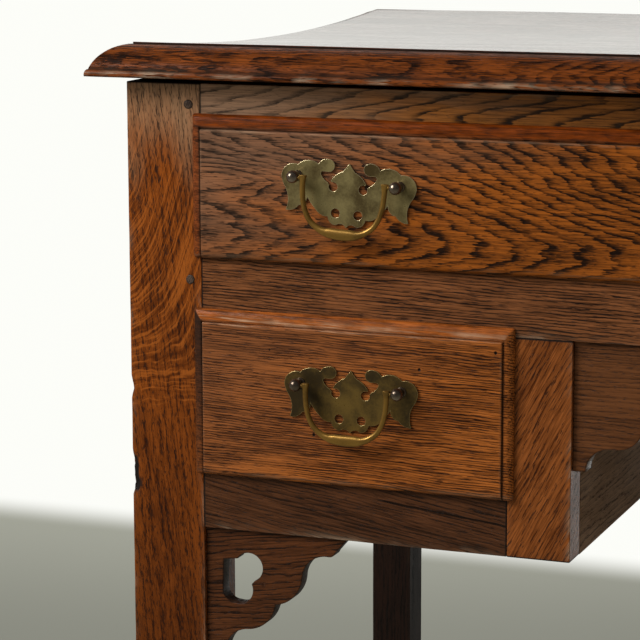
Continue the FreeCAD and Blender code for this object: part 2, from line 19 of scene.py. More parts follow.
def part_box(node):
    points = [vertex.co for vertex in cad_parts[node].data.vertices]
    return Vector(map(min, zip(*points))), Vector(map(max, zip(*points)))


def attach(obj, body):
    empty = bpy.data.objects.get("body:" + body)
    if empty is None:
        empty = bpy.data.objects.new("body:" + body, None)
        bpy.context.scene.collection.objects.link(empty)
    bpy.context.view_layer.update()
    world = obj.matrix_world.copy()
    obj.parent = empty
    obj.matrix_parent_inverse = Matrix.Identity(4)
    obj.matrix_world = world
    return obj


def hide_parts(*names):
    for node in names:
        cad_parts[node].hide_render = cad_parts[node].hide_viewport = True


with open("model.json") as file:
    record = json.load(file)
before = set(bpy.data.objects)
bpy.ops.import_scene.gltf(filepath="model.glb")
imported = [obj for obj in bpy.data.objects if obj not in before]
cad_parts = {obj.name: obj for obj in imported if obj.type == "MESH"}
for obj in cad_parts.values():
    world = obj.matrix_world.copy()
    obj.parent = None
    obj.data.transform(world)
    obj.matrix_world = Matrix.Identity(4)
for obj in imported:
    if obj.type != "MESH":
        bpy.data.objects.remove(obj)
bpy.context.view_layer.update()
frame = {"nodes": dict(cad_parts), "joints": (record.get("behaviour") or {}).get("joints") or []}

log = logging.getLogger("lowboy")

MM = 0.001
HAIR = 1e-6                      # shortest length told from nothing
SIDES = ("left", "right")

Array = np.ndarray
Colour = tuple[float, float, float]
Point = tuple[float, float, float]


class Axis(Enum):
    """Axis of the shared frame."""

    X = 0
    Y = 1
    Z = 2


def shade(red: float, green: float, blue: float) -> Colour:
    """Linear colour of a display colour given from 0 to 255."""
    display = np.array([red, green, blue]) / 255.0
    linear = np.where(display <= 0.04045, display / 12.92, ((display + 0.055) / 1.055) ** 2.4)
    return tuple(float(part) for part in linear)


def scaled(colour: Colour, *shares: float) -> Colour:
    """Colour times one share, or times one for each of its parts."""
    return tuple(float(part) for part in np.multiply(colour, shares))


def unit(numbers: Array) -> Array:
    """Numbers held between 0 and 1."""
    return np.clip(numbers, 0.0, 1.0)


def bell(distance: Array, width: float) -> Array:
    """Bell curve: 1 at no distance, 1/e at the width."""
    return np.exp(-(distance / width) ** 2)


def corners_of(node: str) -> tuple[Array, Array]:
    """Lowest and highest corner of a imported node, as arrays."""
    low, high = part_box(node)
    return np.array(low), np.array(high)


# ---- Shader maths --------------------


class Value:
    """Output socket of a shader node that takes part in Python arithmetic."""

    def __init__(self, graph: "Graph", socket: bpy.types.NodeSocket) -> None:
        """Keeps the socket and the graph that it belongs to."""
        self.graph = graph
        self.socket = socket

    def __add__(self, other: "Value | float") -> "Value":
        """Sum."""
        return self.graph.math("ADD", self, other)

    def __sub__(self, other: "Value | float") -> "Value":
        """Difference."""
        return self.graph.math("SUBTRACT", self, other)

    def __rsub__(self, other: float) -> "Value":
        """Difference from a number."""
        return self.graph.math("SUBTRACT", other, self)

    def __mul__(self, other: "Value | float") -> "Value":
        """Product."""
        return self.graph.math("MULTIPLY", self, other)

    def __truediv__(self, other: "Value | float") -> "Value":
        """Quotient."""
        return self.graph.math("DIVIDE", self, other)


class Graph:
    """Node tree of one material or of the world."""

    def __init__(self, tree: bpy.types.NodeTree) -> None:
        """Takes the tree and empties it."""
        self.tree = tree
        self.tree.nodes.clear()

    def node(self, kind: str, inputs: dict | None = None, **settings: object) -> bpy.types.Node:
        """Adds a node.

        Args:
            kind: the node's type, less its "ShaderNode".
            inputs: socket names or numbers with a value, a colour or a Value to link.
            settings: the node's properties, set before its inputs.

        Returns:
            The new node.
        """
        made = self.tree.nodes.new("ShaderNode" + kind)
        for key, setting in settings.items():
            setattr(made, key, setting)
        for key, given in (inputs or {}).items():
            socket = made.inputs[key]
            if isinstance(given, Value):
                self.tree.links.new(given.socket, socket)
            elif isinstance(given, tuple) and socket.type == "RGBA":
                socket.default_value = (*given, 1.0)
            else:
                socket.default_value = given
        return made

    def value(self, kind: str, inputs: dict | None = None, output: int | str = 0,
              **settings: object) -> Value:
        """Adds a node, as node does, and returns one of its outputs."""
        return Value(self, self.node(kind, inputs, **settings).outputs[output])

    def math(self, operation: str, *terms: Value | float) -> Value:
        """Adds a Math node with that operation on the terms."""
        return self.value("Math", dict(enumerate(terms)), operation=operation)

    def root(self, term: Value) -> Value:
        """Square root."""
        return self.math("SQRT", term)

    def fraction(self, term: Value) -> Value:
        """Part after the decimal point."""
        return self.math("FRACT", term)

    def size(self, term: Value) -> Value:
        """Absolute value."""
        return self.math("ABSOLUTE", term)

    def clamp(self, term: Value) -> Value:
        """The term, held between 0 and 1."""
        return self.value("Clamp", {0: term})

    def step(self, term: Value, start: float, end: float) -> Value:
        """Smooth rise from 0 to 1 as the term goes from start to end."""
        inputs = {0: term, 1: start, 2: end}
        return self.value("MapRange", inputs, interpolation_type="SMOOTHSTEP")

    def edge(self, term: Value, middle: float, blur: float) -> Value:
        """Smooth rise from 0 to 1 about a middle, as far as the blur on both sides."""
        return self.step(term, middle - blur, middle + blur)

    def rays(self, *kinds: str) -> list[Value]:
        """For each kind of ray, 1 where a ray of that kind looks and 0 elsewhere."""
        path = self.node("LightPath")
        return [Value(self, path.outputs["Is %s Ray" % kind]) for kind in kinds]

    def mix(self, factor: Value | float, first: Value | Colour,
            second: Value | Colour) -> Value:
        """Colour between two colours."""
        return self.value("Mix", {0: factor, 6: first, 7: second}, 2, data_type="RGBA")

    def vector(self, x: Value | float, y: Value | float, z: Value | float) -> Value:
        """Vector of three parts."""
        return self.value("CombineXYZ", {0: x, 1: y, 2: z})

    def parts(self, vector: Value) -> tuple[Value, Value, Value]:
        """The three parts of a vector."""
        split = self.node("SeparateXYZ", {0: vector})
        return tuple(Value(self, socket) for socket in split.outputs)

    def noise(self, place: Value, detail: float = 2.0, roughness: float = 0.5,
              distortion: float = 0.0) -> Value:
        """Smooth noise between -0.5 and 0.5 whose features are one unit of place in size."""
        inputs = {"Vector": place, "Scale": 1.0, "Detail": detail, "Roughness": roughness,
                  "Distortion": distortion}
        return self.value("TexNoise", inputs) - 0.5

    def painted(self, name: str) -> Value:
        """A surface's own attribute, 0 where it has none."""
        return self.value("Attribute", output="Fac", attribute_name=name)

    def millimetres(self, origin: Point) -> tuple[Value, Value, Value]:
        """Place on the piece in millimetres, from an origin in metres."""
        scale = 1.0 / MM
        inputs = {"Vector": self.value("TexCoord", output="Object"), "Scale": (scale,) * 3,
                  "Location": tuple(-part * scale for part in origin)}
        return self.parts(self.value("Mapping", inputs))


def new_material(name: str) -> tuple[bpy.types.Material, Graph]:
    """Empty node material and its graph."""
    material = bpy.data.materials.new(name)
    material.use_nodes = True
    return material, Graph(material.node_tree)


def surface(graph: Graph, height: Value, depth: float, inputs: dict) -> None:
    """Ends a material in its shader.

    Args:
        graph: the material's graph.
        height: relief between 0 and 1.
        depth: height of that relief in metres.
        inputs: the Principled shader's other sockets.
    """
    bump = graph.value("Bump", {"Height": height, "Distance": depth, "Strength": 1.0})
    shader = graph.value("BsdfPrincipled", {**inputs, "Normal": bump})
    graph.node("OutputMaterial", {"Surface": shader})


# ---- Finishes --------------------


WORM_HOLE: Colour = (0.006, 0.004, 0.003)
CRACK: Colour = (0.005, 0.003, 0.002)
# Dark colour of dirt, and of painted shade on mouldings and sawn edges.
DIRT_AND_SHADE: Colour = (0.012, 0.008, 0.006)
PALE_WEAR_AND_HIGHLIGHT: Colour = (0.74, 0.56, 0.38)


class Grain:
    """Place along and across a piece's grain, in millimetres, and noises drawn out along it."""

    def __init__(self, graph: Graph, oak: "Oak") -> None:
        """Sets out the places and the noises of an oak finish."""
        self.graph = graph
        self.xyz = graph.millimetres(oak.origin)
        self.height = self.xyz[2] + oak.origin[2] / MM
        depth_axis, = set(Axis) - {oak.grain, oak.across}
        self.straight = self.xyz[oak.grain.value]
        self.sideways = self.xyz[oak.across.value]
        self.deep = self.xyz[depth_axis.value]
        turn = math.radians(oak.tilt)
        self.along = self.straight * math.cos(turn) + self.sideways * math.sin(turn)
        self.across = self.sideways * math.cos(turn) - self.straight * math.sin(turn)
        self.slow = self.noise(95.0, 26.0, 2.0, 0.55)
        self.quick = self.noise(12.0, 4.0, 2.0, 0.6)
        self.drift = self.noise(260.0, 11.0, 1.0)
        self.cloud = self.noise(110.0, 24.0, 3.0, 0.6)
        self.patch = self.noise(38.0, 7.0, 2.0, 0.5)
        self.streak = self.noise(oak.stroke, 1.2, 2.0, 0.6)
        self.fibre = self.noise(12.0, 0.4, 1.0)
        self.dash = self.noise(oak.dash, oak.pore_width, 1.0, 0.6)

    def noise(self, length: float, width: float, *detail: float) -> Value:
        """Noise with features of that length along the grain and that width across it."""
        place = self.graph.vector(self.along / length, self.across / width, self.deep / width)
        return self.graph.noise(place, *detail)


@dataclass(frozen=True)
class Oak:
    """Waxed oak: growth rings, pores, rays and wear, set out along a piece's own grain.

    Its colours are display colours, from 0 to 255.
    """

    name: str
    grain: Axis = Axis.X
    across: Axis = Axis.Z
    origin: Point = (0.0, 0.0, 0.0)
    tilt: float = 0.0            # degrees that the grain turns from its axis towards across
    ring: float = 2.6            # millimetres from one ring to the next
    spread: float = 1.0          # rings crossed going across, against going along
    arch: float = 0.0            # rings crossed going along the grain
    blunt: float = 8.0           # half-width of the round tip of an arched figure, millimetres
    wander: float = 9.0          # how far the rings wander, millimetres
    lumps: tuple[tuple[float, float, float, float, float], ...] = ()
    ragged: float = 1.0          # unevenness of the rings' edges
    band: float = 0.5            # share of a ring that its early wood fades over
    echo: float = 0.0            # weaker lines to a ring
    dash: float = 5.0            # length of a pore, millimetres
    pore_width: float = 0.4
    stroke: float = 34.0         # length of a fine streak, millimetres
    open: float = 0.63           # noise above which a pore shows outside the early wood
    light: Colour = (140, 84, 42)
    dark: Colour = (82, 44, 20)
    pore: Colour = (34, 20, 13)
    buff: Colour = (172, 92, 36)    # clean wood of a handled moulding
    bands: float = 0.5           # darkness of the early wood
    streaks: float = 1.0         # contrast of the fine streaks
    clouds: float = 1.1          # contrast of the broad darker patches
    bloom: Colour = (104, 80, 60)   # grey patina
    bloom_share: float = 0.0
    bloom_low: float = 0.0       # heights between which the patina comes in, millimetres
    bloom_high: float = 0.0
    bloom_lean: float = 0.0      # millimetres that those heights rise over one to the right
    rays: float = 0.0            # 1 where the ray figure runs inwards along +X, -1 along -X
    worm: float = 0.0
    soot: float = 0.0            # painted shade: darker near the floor, where less light falls
    roughness: float = 0.27
    specular: float = 0.16
    paleness: float = 0.45       # how pale the rubbed arrises and their painted highlights are
    shake: Point | None = None   # crack: millimetres to its start, height there, slope

    def early_wood(self, grain: Grain) -> Value:
        """Dark band at the start of each growth ring, 1 where it is strongest.

        A ring's number is sqrt((across + warp)^2 + blunt^2) * spread + along * arch, over the
        ring's width, plus each lump's rings * exp(-(its distances over its size)^2). The
        number's fraction gives the band.

        Args:
            grain: the piece's grain.

        Returns:
            Strength of the band.
        """
        graph = grain.graph
        bent = grain.across + grain.slow * self.wander
        distance = graph.root(bent * bent + self.blunt ** 2)
        count = (distance * self.spread + grain.along * self.arch + grain.deep * 0.4) / self.ring
        for where, height, length, width, rings in self.lumps:
            reach = ((grain.along - where) / length, (grain.across - height) / width)
            away = reach[0] * reach[0] + reach[1] * reach[1]
            count = count + graph.math("EXPONENT", away * -1.0) * rings
        uneven = grain.quick * 0.9 + grain.streak * 0.6
        count = count + grain.drift * 2.0 + uneven * self.ragged
        phase = graph.fraction(count)
        early = (1.0 - graph.step(phase, 0.06, self.band)) * graph.step(phase, 0.0, 0.06)
        early = early * (graph.step(grain.patch, -0.2, 0.1) * 0.6 + 0.4)
        if self.echo:
            fine = 1.0 - graph.step(graph.fraction(count * self.echo), 0.0, 0.5)
            early = early + fine * graph.edge(grain.quick, 0.0, 0.1) * 0.3
        return early

    def flecks(self, grain: Grain) -> Value:
        """Ray figure: ribbons that lie level at the foot and turn steep towards the head.

        A ribbon is a level set of along - across * (0.18 + 0.0143 * along), for along from 0 and
        for across from the outer edge.

        Args:
            grain: the piece's grain.

        Returns:
            Figure, above 0 on the ribbons and below it between them.
        """
        graph = grain.graph
        along, across = grain.straight, grain.sideways * self.rays
        rise = graph.math("MINIMUM", graph.math("MAXIMUM", along, 0.0), 230.0)
        level = along - across * (rise * 0.0143 + 0.18) + grain.slow * 14.0
        place = graph.vector(level / 2.3, across / 24.0, grain.deep / 9.0)
        strength = graph.step(along, -40.0, 6.0) * (1.0 - graph.step(along, 60.0, 200.0) * 0.6)
        return graph.noise(place, 2.0, 0.55, 0.5) * strength

    def bloom_mask(self, grain: Grain) -> Value:
        """Share of the grey patina, which comes in between two heights."""
        level = grain.height - (grain.xyz[0] + self.origin[0] / MM) * self.bloom_lean
        mask = grain.graph.step(level + grain.cloud * 110.0, self.bloom_low, self.bloom_high)
        return mask * self.bloom_share

    def worm_holes(self, grain: Grain) -> Value:
        """1 in the round holes of worms, which lie in some of a pattern's cells."""
        graph = grain.graph
        cells = {"Vector": graph.vector(*(part / 17.0 for part in grain.xyz)), "Scale": 1.0}
        nearest = graph.node("TexVoronoi", cells)
        chance = graph.parts(Value(graph, nearest.outputs["Color"]))[0]
        hole = 1.0 - graph.step(Value(graph, nearest.outputs["Distance"]), 0.045, 0.075)
        return hole * graph.step(chance, 1.0 - self.worm, 1.0 - self.worm + 0.02)

    def shake_line(self, grain: Grain) -> Value:
        """1 along the crack."""
        graph = grain.graph
        start, level, slope = self.shake
        away = grain.sideways - level - (grain.straight - start) * slope
        line = 1.0 - graph.step(graph.size(away + grain.slow * 5.0 + grain.quick * 1.2), 0.4, 1.1)
        return line * graph.step(grain.straight, start, start + 8.0)

    def handled(self, grain: Grain, colour: Value, pores: Value) -> Value:
        """The wood's colour with clean mouldings, pale wear, painted highlights, dirt and painted
        shade.
        """
        graph = grain.graph
        buff = shade(*self.buff)
        speckle = graph.clamp(grain.streak * 1.8 + grain.quick * 1.4 + grain.fibre * 1.2 + 0.5)
        fresh = graph.mix(speckle, buff, scaled(buff, 0.2))
        colour = graph.mix(graph.painted("buffed") * (1.0 - pores * 0.3), colour, fresh)
        # Pale colour of rubbed arrises, which also lays on painted highlights.
        worn = graph.mix(self.paleness, shade(*self.light), PALE_WEAR_AND_HIGHLIGHT)
        chance = graph.step(grain.streak + grain.fibre * 0.5 + grain.patch * 0.7, -0.12, 0.08)
        colour = graph.mix(graph.painted("arris") * chance, colour, worn)
        return graph.mix(graph.painted("scar"), colour, DIRT_AND_SHADE)

    def material(self) -> bpy.types.Material:
        """Makes the material: wood, then patina, marks and painted shade, then wear, dirt and
        painted light.
        """
        material, graph = new_material(self.name)
        light, dark, pore, bloom = (shade(*colour) for colour in (
            self.light, self.dark, self.pore, self.bloom))
        grain = Grain(graph, self)
        early = self.early_wood(grain)
        pores = grain.dash + early * 0.17 + grain.patch * 0.14 + 0.5
        pores = graph.step(pores, self.open, self.open + 0.09)
        streaks = (grain.streak * 1.9 + grain.fibre) * self.streaks
        tone = early * self.bands + grain.cloud * self.clouds + grain.patch * 0.5 + streaks
        tone = graph.clamp(tone + 0.36)
        colour = graph.mix(tone, light, dark)
        relief = 0.6 - pores * 0.5 + grain.streak * 0.5 - early * 0.12
        if self.rays:
            figure = self.flecks(grain)
            fleck = graph.step(figure, 0.0, 0.13)
            colour = graph.mix(fleck * 0.65, colour, scaled(light, 1.5, 1.65, 1.8))
            colour = graph.mix(graph.step(figure, -0.02, -0.13) * 0.5, colour, dark)
            pores = pores * (1.0 - fleck * 0.8)
            relief = relief + fleck * 0.2

        if self.bloom_share:
            veil = graph.mix(tone, bloom, scaled(bloom, 0.4))
            colour = graph.mix(self.bloom_mask(grain), colour, veil)
        colour = graph.mix(pores * 0.72, colour, pore)
        # Painted shade: the wood darkens towards the floor, where less light falls.
        if self.soot:
            low = (1.0 - graph.step(grain.height, 200.0, 520.0)) * self.soot
            colour = graph.mix(low, colour, scaled(dark, 0.3))
        if self.worm:
            hole = self.worm_holes(grain)
            colour = graph.mix(hole, colour, WORM_HOLE)
            relief = relief - hole
        if self.shake:
            colour = graph.mix(self.shake_line(grain) * 0.9, colour, CRACK)

        rough = graph.clamp(pores * 0.2 + grain.cloud * 0.3 + graph.painted("scar") * 0.3
                            + self.roughness)
        surface(graph, relief, 0.2 * MM,
                {"Base Color": self.handled(grain, colour, pores), "Roughness": rough,
                 "Coat Weight": graph.painted("polish"), "Coat Roughness": 0.17,
                 "Coat IOR": 1.6, "IOR": 1.45, "Specular IOR Level": self.specular})
        return material


@dataclass(frozen=True)
class Metal:
    """Cast and filed metal: tarnish in clouds, fine pits, and rubbed edges made bright as painted
    highlights.

    Its colours are display colours, from 0 to 255.
    """

    name: str
    bright: Colour
    tarnish: Colour
    edge: Colour
    tarnish_share: float = 0.5
    roughness: float = 0.3
    metallic: float = 1.0
    pit: float = 1.4             # millimetres between pits

    def material(self) -> bpy.types.Material:
        """Makes the material."""
        material, graph = new_material(self.name)
        x, y, z = graph.millimetres((0.0, 0.0, 0.0))
        cloud = graph.noise(graph.vector(x / 22.0, y / 22.0, z / 22.0), 3.0, 0.55, 0.3)
        speck = graph.noise(graph.vector(x / self.pit, y / self.pit, z / self.pit), 2.0, 0.6)
        stroke = graph.noise(graph.vector(x / 0.5, y / 0.5, z / 8.0), 1.0)
        veil = graph.edge(cloud + speck * 0.2, 0.45 - self.tarnish_share, 0.2)
        rubbed = graph.painted("arris")
        colour = graph.mix(veil, shade(*self.bright), shade(*self.tarnish))
        # Rubbed edges, made bright enough to be painted highlights too.
        colour = graph.mix(rubbed * 0.9, colour, shade(*self.edge))
        rough = graph.clamp(veil * 0.1 + speck * 0.15 + stroke * 0.08 - rubbed * 0.12
                            + self.roughness)
        surface(graph, cloud + speck * 0.015 + stroke * 0.008, 0.3 * MM,
                {"Base Color": colour, "Metallic": self.metallic, "Roughness": rough})
        return material


def oak(name: str, **changes: object) -> bpy.types.Material:
    """Material of an oak finish that differs from the plain one by these changes."""
    return Oak("oak_" + name, **changes).material()


# ---- Surfaces --------------------


class Ripple:
    """Smooth field over space: the mean of sine waves with random directions and phases."""

    waves = 9

    def __init__(self, seed: int, wavelength: float) -> None:
        """Draws the waves, whose lengths lie about the given wavelength in metres."""
        draw = np.random.default_rng(seed)
        directions = draw.normal(size=(self.waves, 3))
        directions /= np.linalg.norm(directions, axis=1, keepdims=True)
        pitch = 2.0 * np.pi / (wavelength * draw.uniform(0.6, 1.7, (self.waves, 1)))
        self.frequencies = directions * pitch
        self.phases = draw.uniform(0.0, 2.0 * np.pi, self.waves)

    def __call__(self, points: Array) -> Array:
        """Value between about -1 and 1 at each point of an (..., 3) array."""
        heights = np.sin(points @ self.frequencies.T + self.phases)
        return heights.mean(axis=-1) * math.sqrt(self.waves) * 0.7


def placed(name: str, data: bpy.types.ID) -> bpy.types.Object:
    """New object with that data, linked to the scene."""
    made = bpy.data.objects.new(name, data)
    bpy.context.scene.collection.objects.link(made)
    return made


def make_piece(name: str, points: Array, faces: Array,
               painted: dict[str, Array] | None = None) -> bpy.types.Object:
    """Makes a mesh object from arrays, with its faces turned outwards.

    Args:
        name: the piece's name.
        points: (n, 3) places in metres; those that coincide are joined.
        faces: (m, 4) indices of each face's corners.
        painted: attributes, one number for each point.

    Returns:
        The new object, linked to the scene.
    """
    mesh = bpy.data.meshes.new(name)
    mesh.from_pydata(points.tolist(), [], faces.tolist())
    for key, numbers in (painted or {}).items():
        layer = mesh.attributes.new(key, "FLOAT", "POINT")
        layer.data.foreach_set("value", np.asarray(numbers, dtype=np.float32).ravel())
    shape = bmesh.new()
    shape.from_mesh(mesh)
    bmesh.ops.remove_doubles(shape, verts=shape.verts, dist=2.0 * HAIR)
    if shape.calc_volume(signed=True) < 0.0:
        bmesh.ops.reverse_faces(shape, faces=shape.faces)
    for face in shape.faces:
        face.smooth = True
    shape.to_mesh(mesh)
    shape.free()
    return placed(name, mesh)


def lattice_faces(rows: int, columns: int) -> Array:
    """Quads of a lattice of points whose rows close on themselves."""
    index = np.arange(rows * columns).reshape(rows, columns)
    after = np.roll(index, -1, axis=1)
    quads = np.stack([index[:-1], after[:-1], after[1:], index[1:]], axis=-1)
    return quads.reshape(-1, 4)


def lattice_piece(name: str, points: Array, painted: dict[str, Array]) -> bpy.types.Object:
    """Piece from a (rows, columns, 3) lattice whose rows close and whose ends are poles."""
    rows, columns = points.shape[:2]
    return make_piece(name, points.reshape(-1, 3), lattice_faces(rows, columns), painted)


NEAR_CORNER = np.array([0.7, 1.5, 2.6, 4.2, 7.0]) * MM    # points of a flat beside its corner
CORNER_FADE = 1.6 * MM           # over which a corner's wear fades along a flat


@dataclass(frozen=True)
class Rim:
    """Points round any rounded rectangle, as four weights each.

    A point is (x * (half_width - radius) + u * radius, y * (half_height - radius) + v * radius),
    and (u, v) is also its outward direction.
    """

    x: Array
    y: Array
    u: Array
    v: Array
    bend: Array                  # 1 on a corner's arc, falling to 0 away from it
    corner: Array                # nearest corner, counted from (+, +) through (-, +)

    @classmethod
    def around(cls, width: float, height: float, spacing: float, arc_steps: int = 5) -> "Rim":
        """Rim for a rectangle of about that size.

        Args:
            width: whole width in metres.
            height: whole height in metres.
            spacing: distance between points on the flats.
            arc_steps: points on each corner's arc.

        Returns:
            The rim, counter-clockwise from the corner (+, +).
        """
        columns: list[Array] = []
        quarter = np.linspace(0.0, np.pi / 2.0, arc_steps)
        one = np.ones_like(quarter)
        for number, (cosine, sine) in enumerate(((1, 0), (0, 1), (-1, 0), (0, -1))):
            angle = quarter + number * np.pi / 2.0
            columns.append(np.stack([one * (cosine - sine), one * (cosine + sine),
                                     np.cos(angle), np.sin(angle), one, one * number]))
            length = width if number % 2 == 0 else height
            near = NEAR_CORNER * 2.0 / length
            near = near[near < 0.6]
            count = max(2, int(length / spacing))
            inner = np.linspace(1.0 - near[-1], near[-1] - 1.0, count)[1:-1]
            marks = np.concatenate([1.0 - near, inner, (near - 1.0)[::-1]])
            fade = np.exp(-(1.0 - np.abs(marks)) * length / 2.0 / CORNER_FADE)
            flat = np.ones_like(marks)
            nearest = np.where(marks > 0, number, (number + 1) % 4)
            columns.append(np.stack([marks * cosine - flat * sine, marks * sine + flat * cosine,
                                     -flat * sine, flat * cosine, fade, nearest]))
        return cls(*np.concatenate(columns, axis=1))

    def place(self, half_width: Array, half_height: Array, radius: Array) -> tuple[Array, Array]:
        """Points of rounded rectangles, one row for each, from (rows, 1) sizes."""
        first = self.x * (half_width - radius) + self.u * radius
        second = self.y * (half_height - radius) + self.v * radius
        return first, second


@dataclass(frozen=True)
class Dent:
    """Bruise or chip: points near its middle move by push, and dark dirt gathers in it."""

    middle: Array
    reach: Array
    push: Array
    dirt: float

    def weigh(self, points: Array) -> Array:
        """How much of the dent each point gets: 1 in its middle, falling to 0 at its reach."""
        away = (points - self.middle) / self.reach
        return np.sqrt(unit(1.0 - (away ** 2).sum(axis=-1)))


@dataclass(frozen=True)
class Chamfer:
    """Stopped chamfer on one corner of an upright."""

    corner: int                  # as a Rim counts them
    width: float                 # radius that the corner is opened to before it is flattened
    top: float                   # height where it dies out
    stop: float                  # length of its upper stop


@dataclass
class Cup:
    """Top board's bend: arcs about an axis that runs along X above it."""

    radius: float
    line: float                  # lowest line of the bend, along Y
    thickness: float
    lowest: float                # height of the underside at that line

    def under(self, y: Array) -> Array:
        """Height of the underside: lowest + R - sqrt(R^2 - (y - line)^2)."""
        outer = self.radius + self.thickness
        return self.lowest + outer - np.sqrt(outer ** 2 - (y - self.line) ** 2)

    def crown(self, y: Array) -> Array:
        """Height of the upper face: lowest + thickness + r - sqrt(r^2 - (y - line)^2)."""
        rise = self.radius - np.sqrt(self.radius ** 2 - (y - self.line) ** 2)
        return self.lowest + self.thickness + rise


@dataclass
class Timber:
    """Straight squared timber with eased arrises, gentle hollows and dents."""

    name: str
    low: Array
    high: Array
    along: Axis
    seed: int
    ease: float = 0.45 * MM
    wear: float = 0.5 * MM
    hollow: float = 0.12 * MM
    end_band: float = 1.2 * MM   # first section in from an end, so that its dirt stays there
    end_dirt: float = 0.8 * MM
    spacing: float = 5.0 * MM
    dents: list[Dent] = field(default_factory=list)
    chamfer: Chamfer | None = None
    cup: Cup | None = None

    def stations(self) -> tuple[Array, Array, Array]:
        """Place, inset and scale of each section, from one end's middle to the other's."""
        axis = self.along.value
        start, end = self.low[axis], self.high[axis]
        angle = np.linspace(0.0, np.pi / 2.0, 5)
        inset = self.ease * (1.0 - np.sin(angle))
        offset = self.ease * (1.0 - np.cos(angle))
        count = max(3, int((end - start) / self.spacing))
        inner = np.linspace(start + self.ease, end - self.ease, count)
        inner[[0, -1]] = start + self.end_band, end - self.end_band
        place = np.concatenate([[start] * 2, start + offset, inner, end - offset[::-1], [end] * 2])
        insets = np.concatenate([[self.ease] * 2, inset, inner * 0.0, inset[::-1],
                                 [self.ease] * 2])
        scale = np.ones_like(place)
        scale[[0, -1]] = 0.0
        scale[[1, -2]] = 0.6
        return place, insets, scale

    def opened(self, rim: Rim, place: Array, radius: Array) -> tuple[Array, Array, Array]:
        """Radius of the corners and directions of the points, with the chamfer cut."""
        cut = self.chamfer
        share = unit((cut.top - place) / cut.stop)
        share = share * share * (3.0 - 2.0 * share) * (rim.corner == cut.corner)
        turn = np.arctan2(np.abs(rim.v), np.abs(rim.u)) / (np.pi / 2.0)
        on_arc = share * (rim.bend > 0.99)
        u = rim.u + ((1.0 - turn) * np.sign(rim.u) - rim.u) * on_arc
        v = rim.v + (turn * np.sign(rim.v) - rim.v) * on_arc
        return radius + (cut.width - radius) * share, u, v

    def bruise(self, points: Array) -> Array:
        """Presses the dents into the points and returns the dirt that gathers in them."""
        scar = np.zeros(points.shape[:2])
        for dent in self.dents:
            share = dent.weigh(points)
            rough = 1.0 + 0.5 * Ripple(self.seed + 3, 5 * MM)(points)
            points += (share * rough)[..., None] * dent.push
            scar = np.maximum(scar, unit(share * 2.0) * dent.dirt)
        return scar

    def build(self) -> bpy.types.Object:
        """Makes the piece.

        Each section is a rounded rectangle whose corner radius grows with the wear, so that a
        point is section(place) plus its outward direction times the hollow.

        Returns:
            The timber's object.
        """
        axis = self.along.value
        first, second = [number for number in range(3) if number != axis]
        middle = (self.low + self.high) / 2.0
        half = (self.high - self.low) / 2.0
        rim = Rim.around(2.0 * half[first], 2.0 * half[second], self.spacing * 1.6)
        place, inset, scale = (part[:, None] for part in self.stations())
        shape = (len(place), len(rim.x))
        nominal = np.zeros((*shape, 3))
        nominal[..., axis] = place
        nominal[..., first] = middle[first] + rim.x * half[first]
        nominal[..., second] = middle[second] + rim.y * half[second]
        rubbed = unit(Ripple(self.seed, 70 * MM)(nominal)) ** 2
        rubbed += 0.4 * unit(Ripple(self.seed + 1, 12 * MM)(nominal))
        radius = self.ease + self.wear * rubbed * (rim.bend > 0.9)
        u, v = rim.u, rim.v
        if self.chamfer:
            radius, u, v = self.opened(rim, place, radius)
        half_first = (half[first] - inset) * scale
        half_second = (half[second] - inset) * scale
        radius = np.minimum(radius * scale, np.minimum(half_first, half_second))
        points = np.zeros((*shape, 3))
        points[..., axis] = place
        points[..., first] = middle[first] + rim.x * (half_first - radius) + u * radius
        points[..., second] = middle[second] + rim.y * (half_second - radius) + v * radius
        swell = (Ripple(self.seed + 2, 160 * MM)(points) - 1.0) * self.hollow
        points[..., first] += rim.u * swell * (scale == 1.0)
        points[..., second] += rim.v * swell * (scale == 1.0)
        scar = self.bruise(points)
        if self.cup:
            points[..., 2] = np.minimum(points[..., 2], self.cup.under(points[..., 1]))
        to_end = np.minimum(place - self.low[axis], self.high[axis] - place)
        scar = np.maximum(scar, unit(1.4 * bell(to_end, self.end_dirt)))
        arris = np.broadcast_to(rim.bend, shape) * np.clip(0.1 + rubbed, 0.0, 0.6) * scale
        return lattice_piece(self.name, points, {"arris": arris, "scar": scar})


@dataclass
class RingedBoard:
    """Board made of nested rectangular rings.

    Each ring has its inset at the ends, at the upper and at the lower edge, its height and the
    radius of its corners.
    """

    name: str
    half_width: float
    half_height: float
    rings: Array
    spacing: float = 6.0 * MM

    def lattice(self) -> tuple[Array, Array, Array, Rim]:
        """Places across, places up, heights and the rim of every ring."""
        rim = Rim.around(2.0 * self.half_width, 2.0 * self.half_height, self.spacing, 4)
        end, upper, lower, height, corner = (column[:, None] for column in self.rings.T)
        half_width = self.half_width - end
        half_height = self.half_height - (upper + lower) / 2.0
        radius = np.minimum(corner, half_height)
        first, second = rim.place(half_width, half_height, radius)
        return first, second + (lower - upper) / 2.0, np.broadcast_to(height, first.shape), rim


def towards_middle(start: Point, half: float, height: float, count: int) -> Array:
    """Rings from their insets to the board's middle line, closer together at their start."""
    share = np.linspace(0.0, 1.0, count)[:, None] ** 2
    inset = np.array(start) + (half - np.array(start)) * share
    return np.hstack([inset, np.full((count, 1), height), np.zeros((count, 1))])


def smooth_through(knots: Array, count: int) -> Array:
    """Points along a curve through knots: cubics whose slope at a knot is the mean of the two
    chords that meet there.

    Args:
        knots: (n, k) numbers.
        count: number of points.

    Returns:
        (count, k) numbers.
    """
    slopes = np.gradient(knots, axis=0)
    position = np.linspace(0.0, len(knots) - 1.0, count)
    index = np.minimum(position.astype(int), len(knots) - 2)
    share = (position - index)[:, None]
    start, end = knots[index], knots[index + 1]
    leave, arrive = slopes[index], slopes[index + 1]
    return ((2 * share ** 3 - 3 * share ** 2 + 1) * start + (share ** 3 - 2 * share ** 2 + share)
            * leave + (3 * share ** 2 - 2 * share ** 3) * end + (share ** 3 - share ** 2) * arrive)


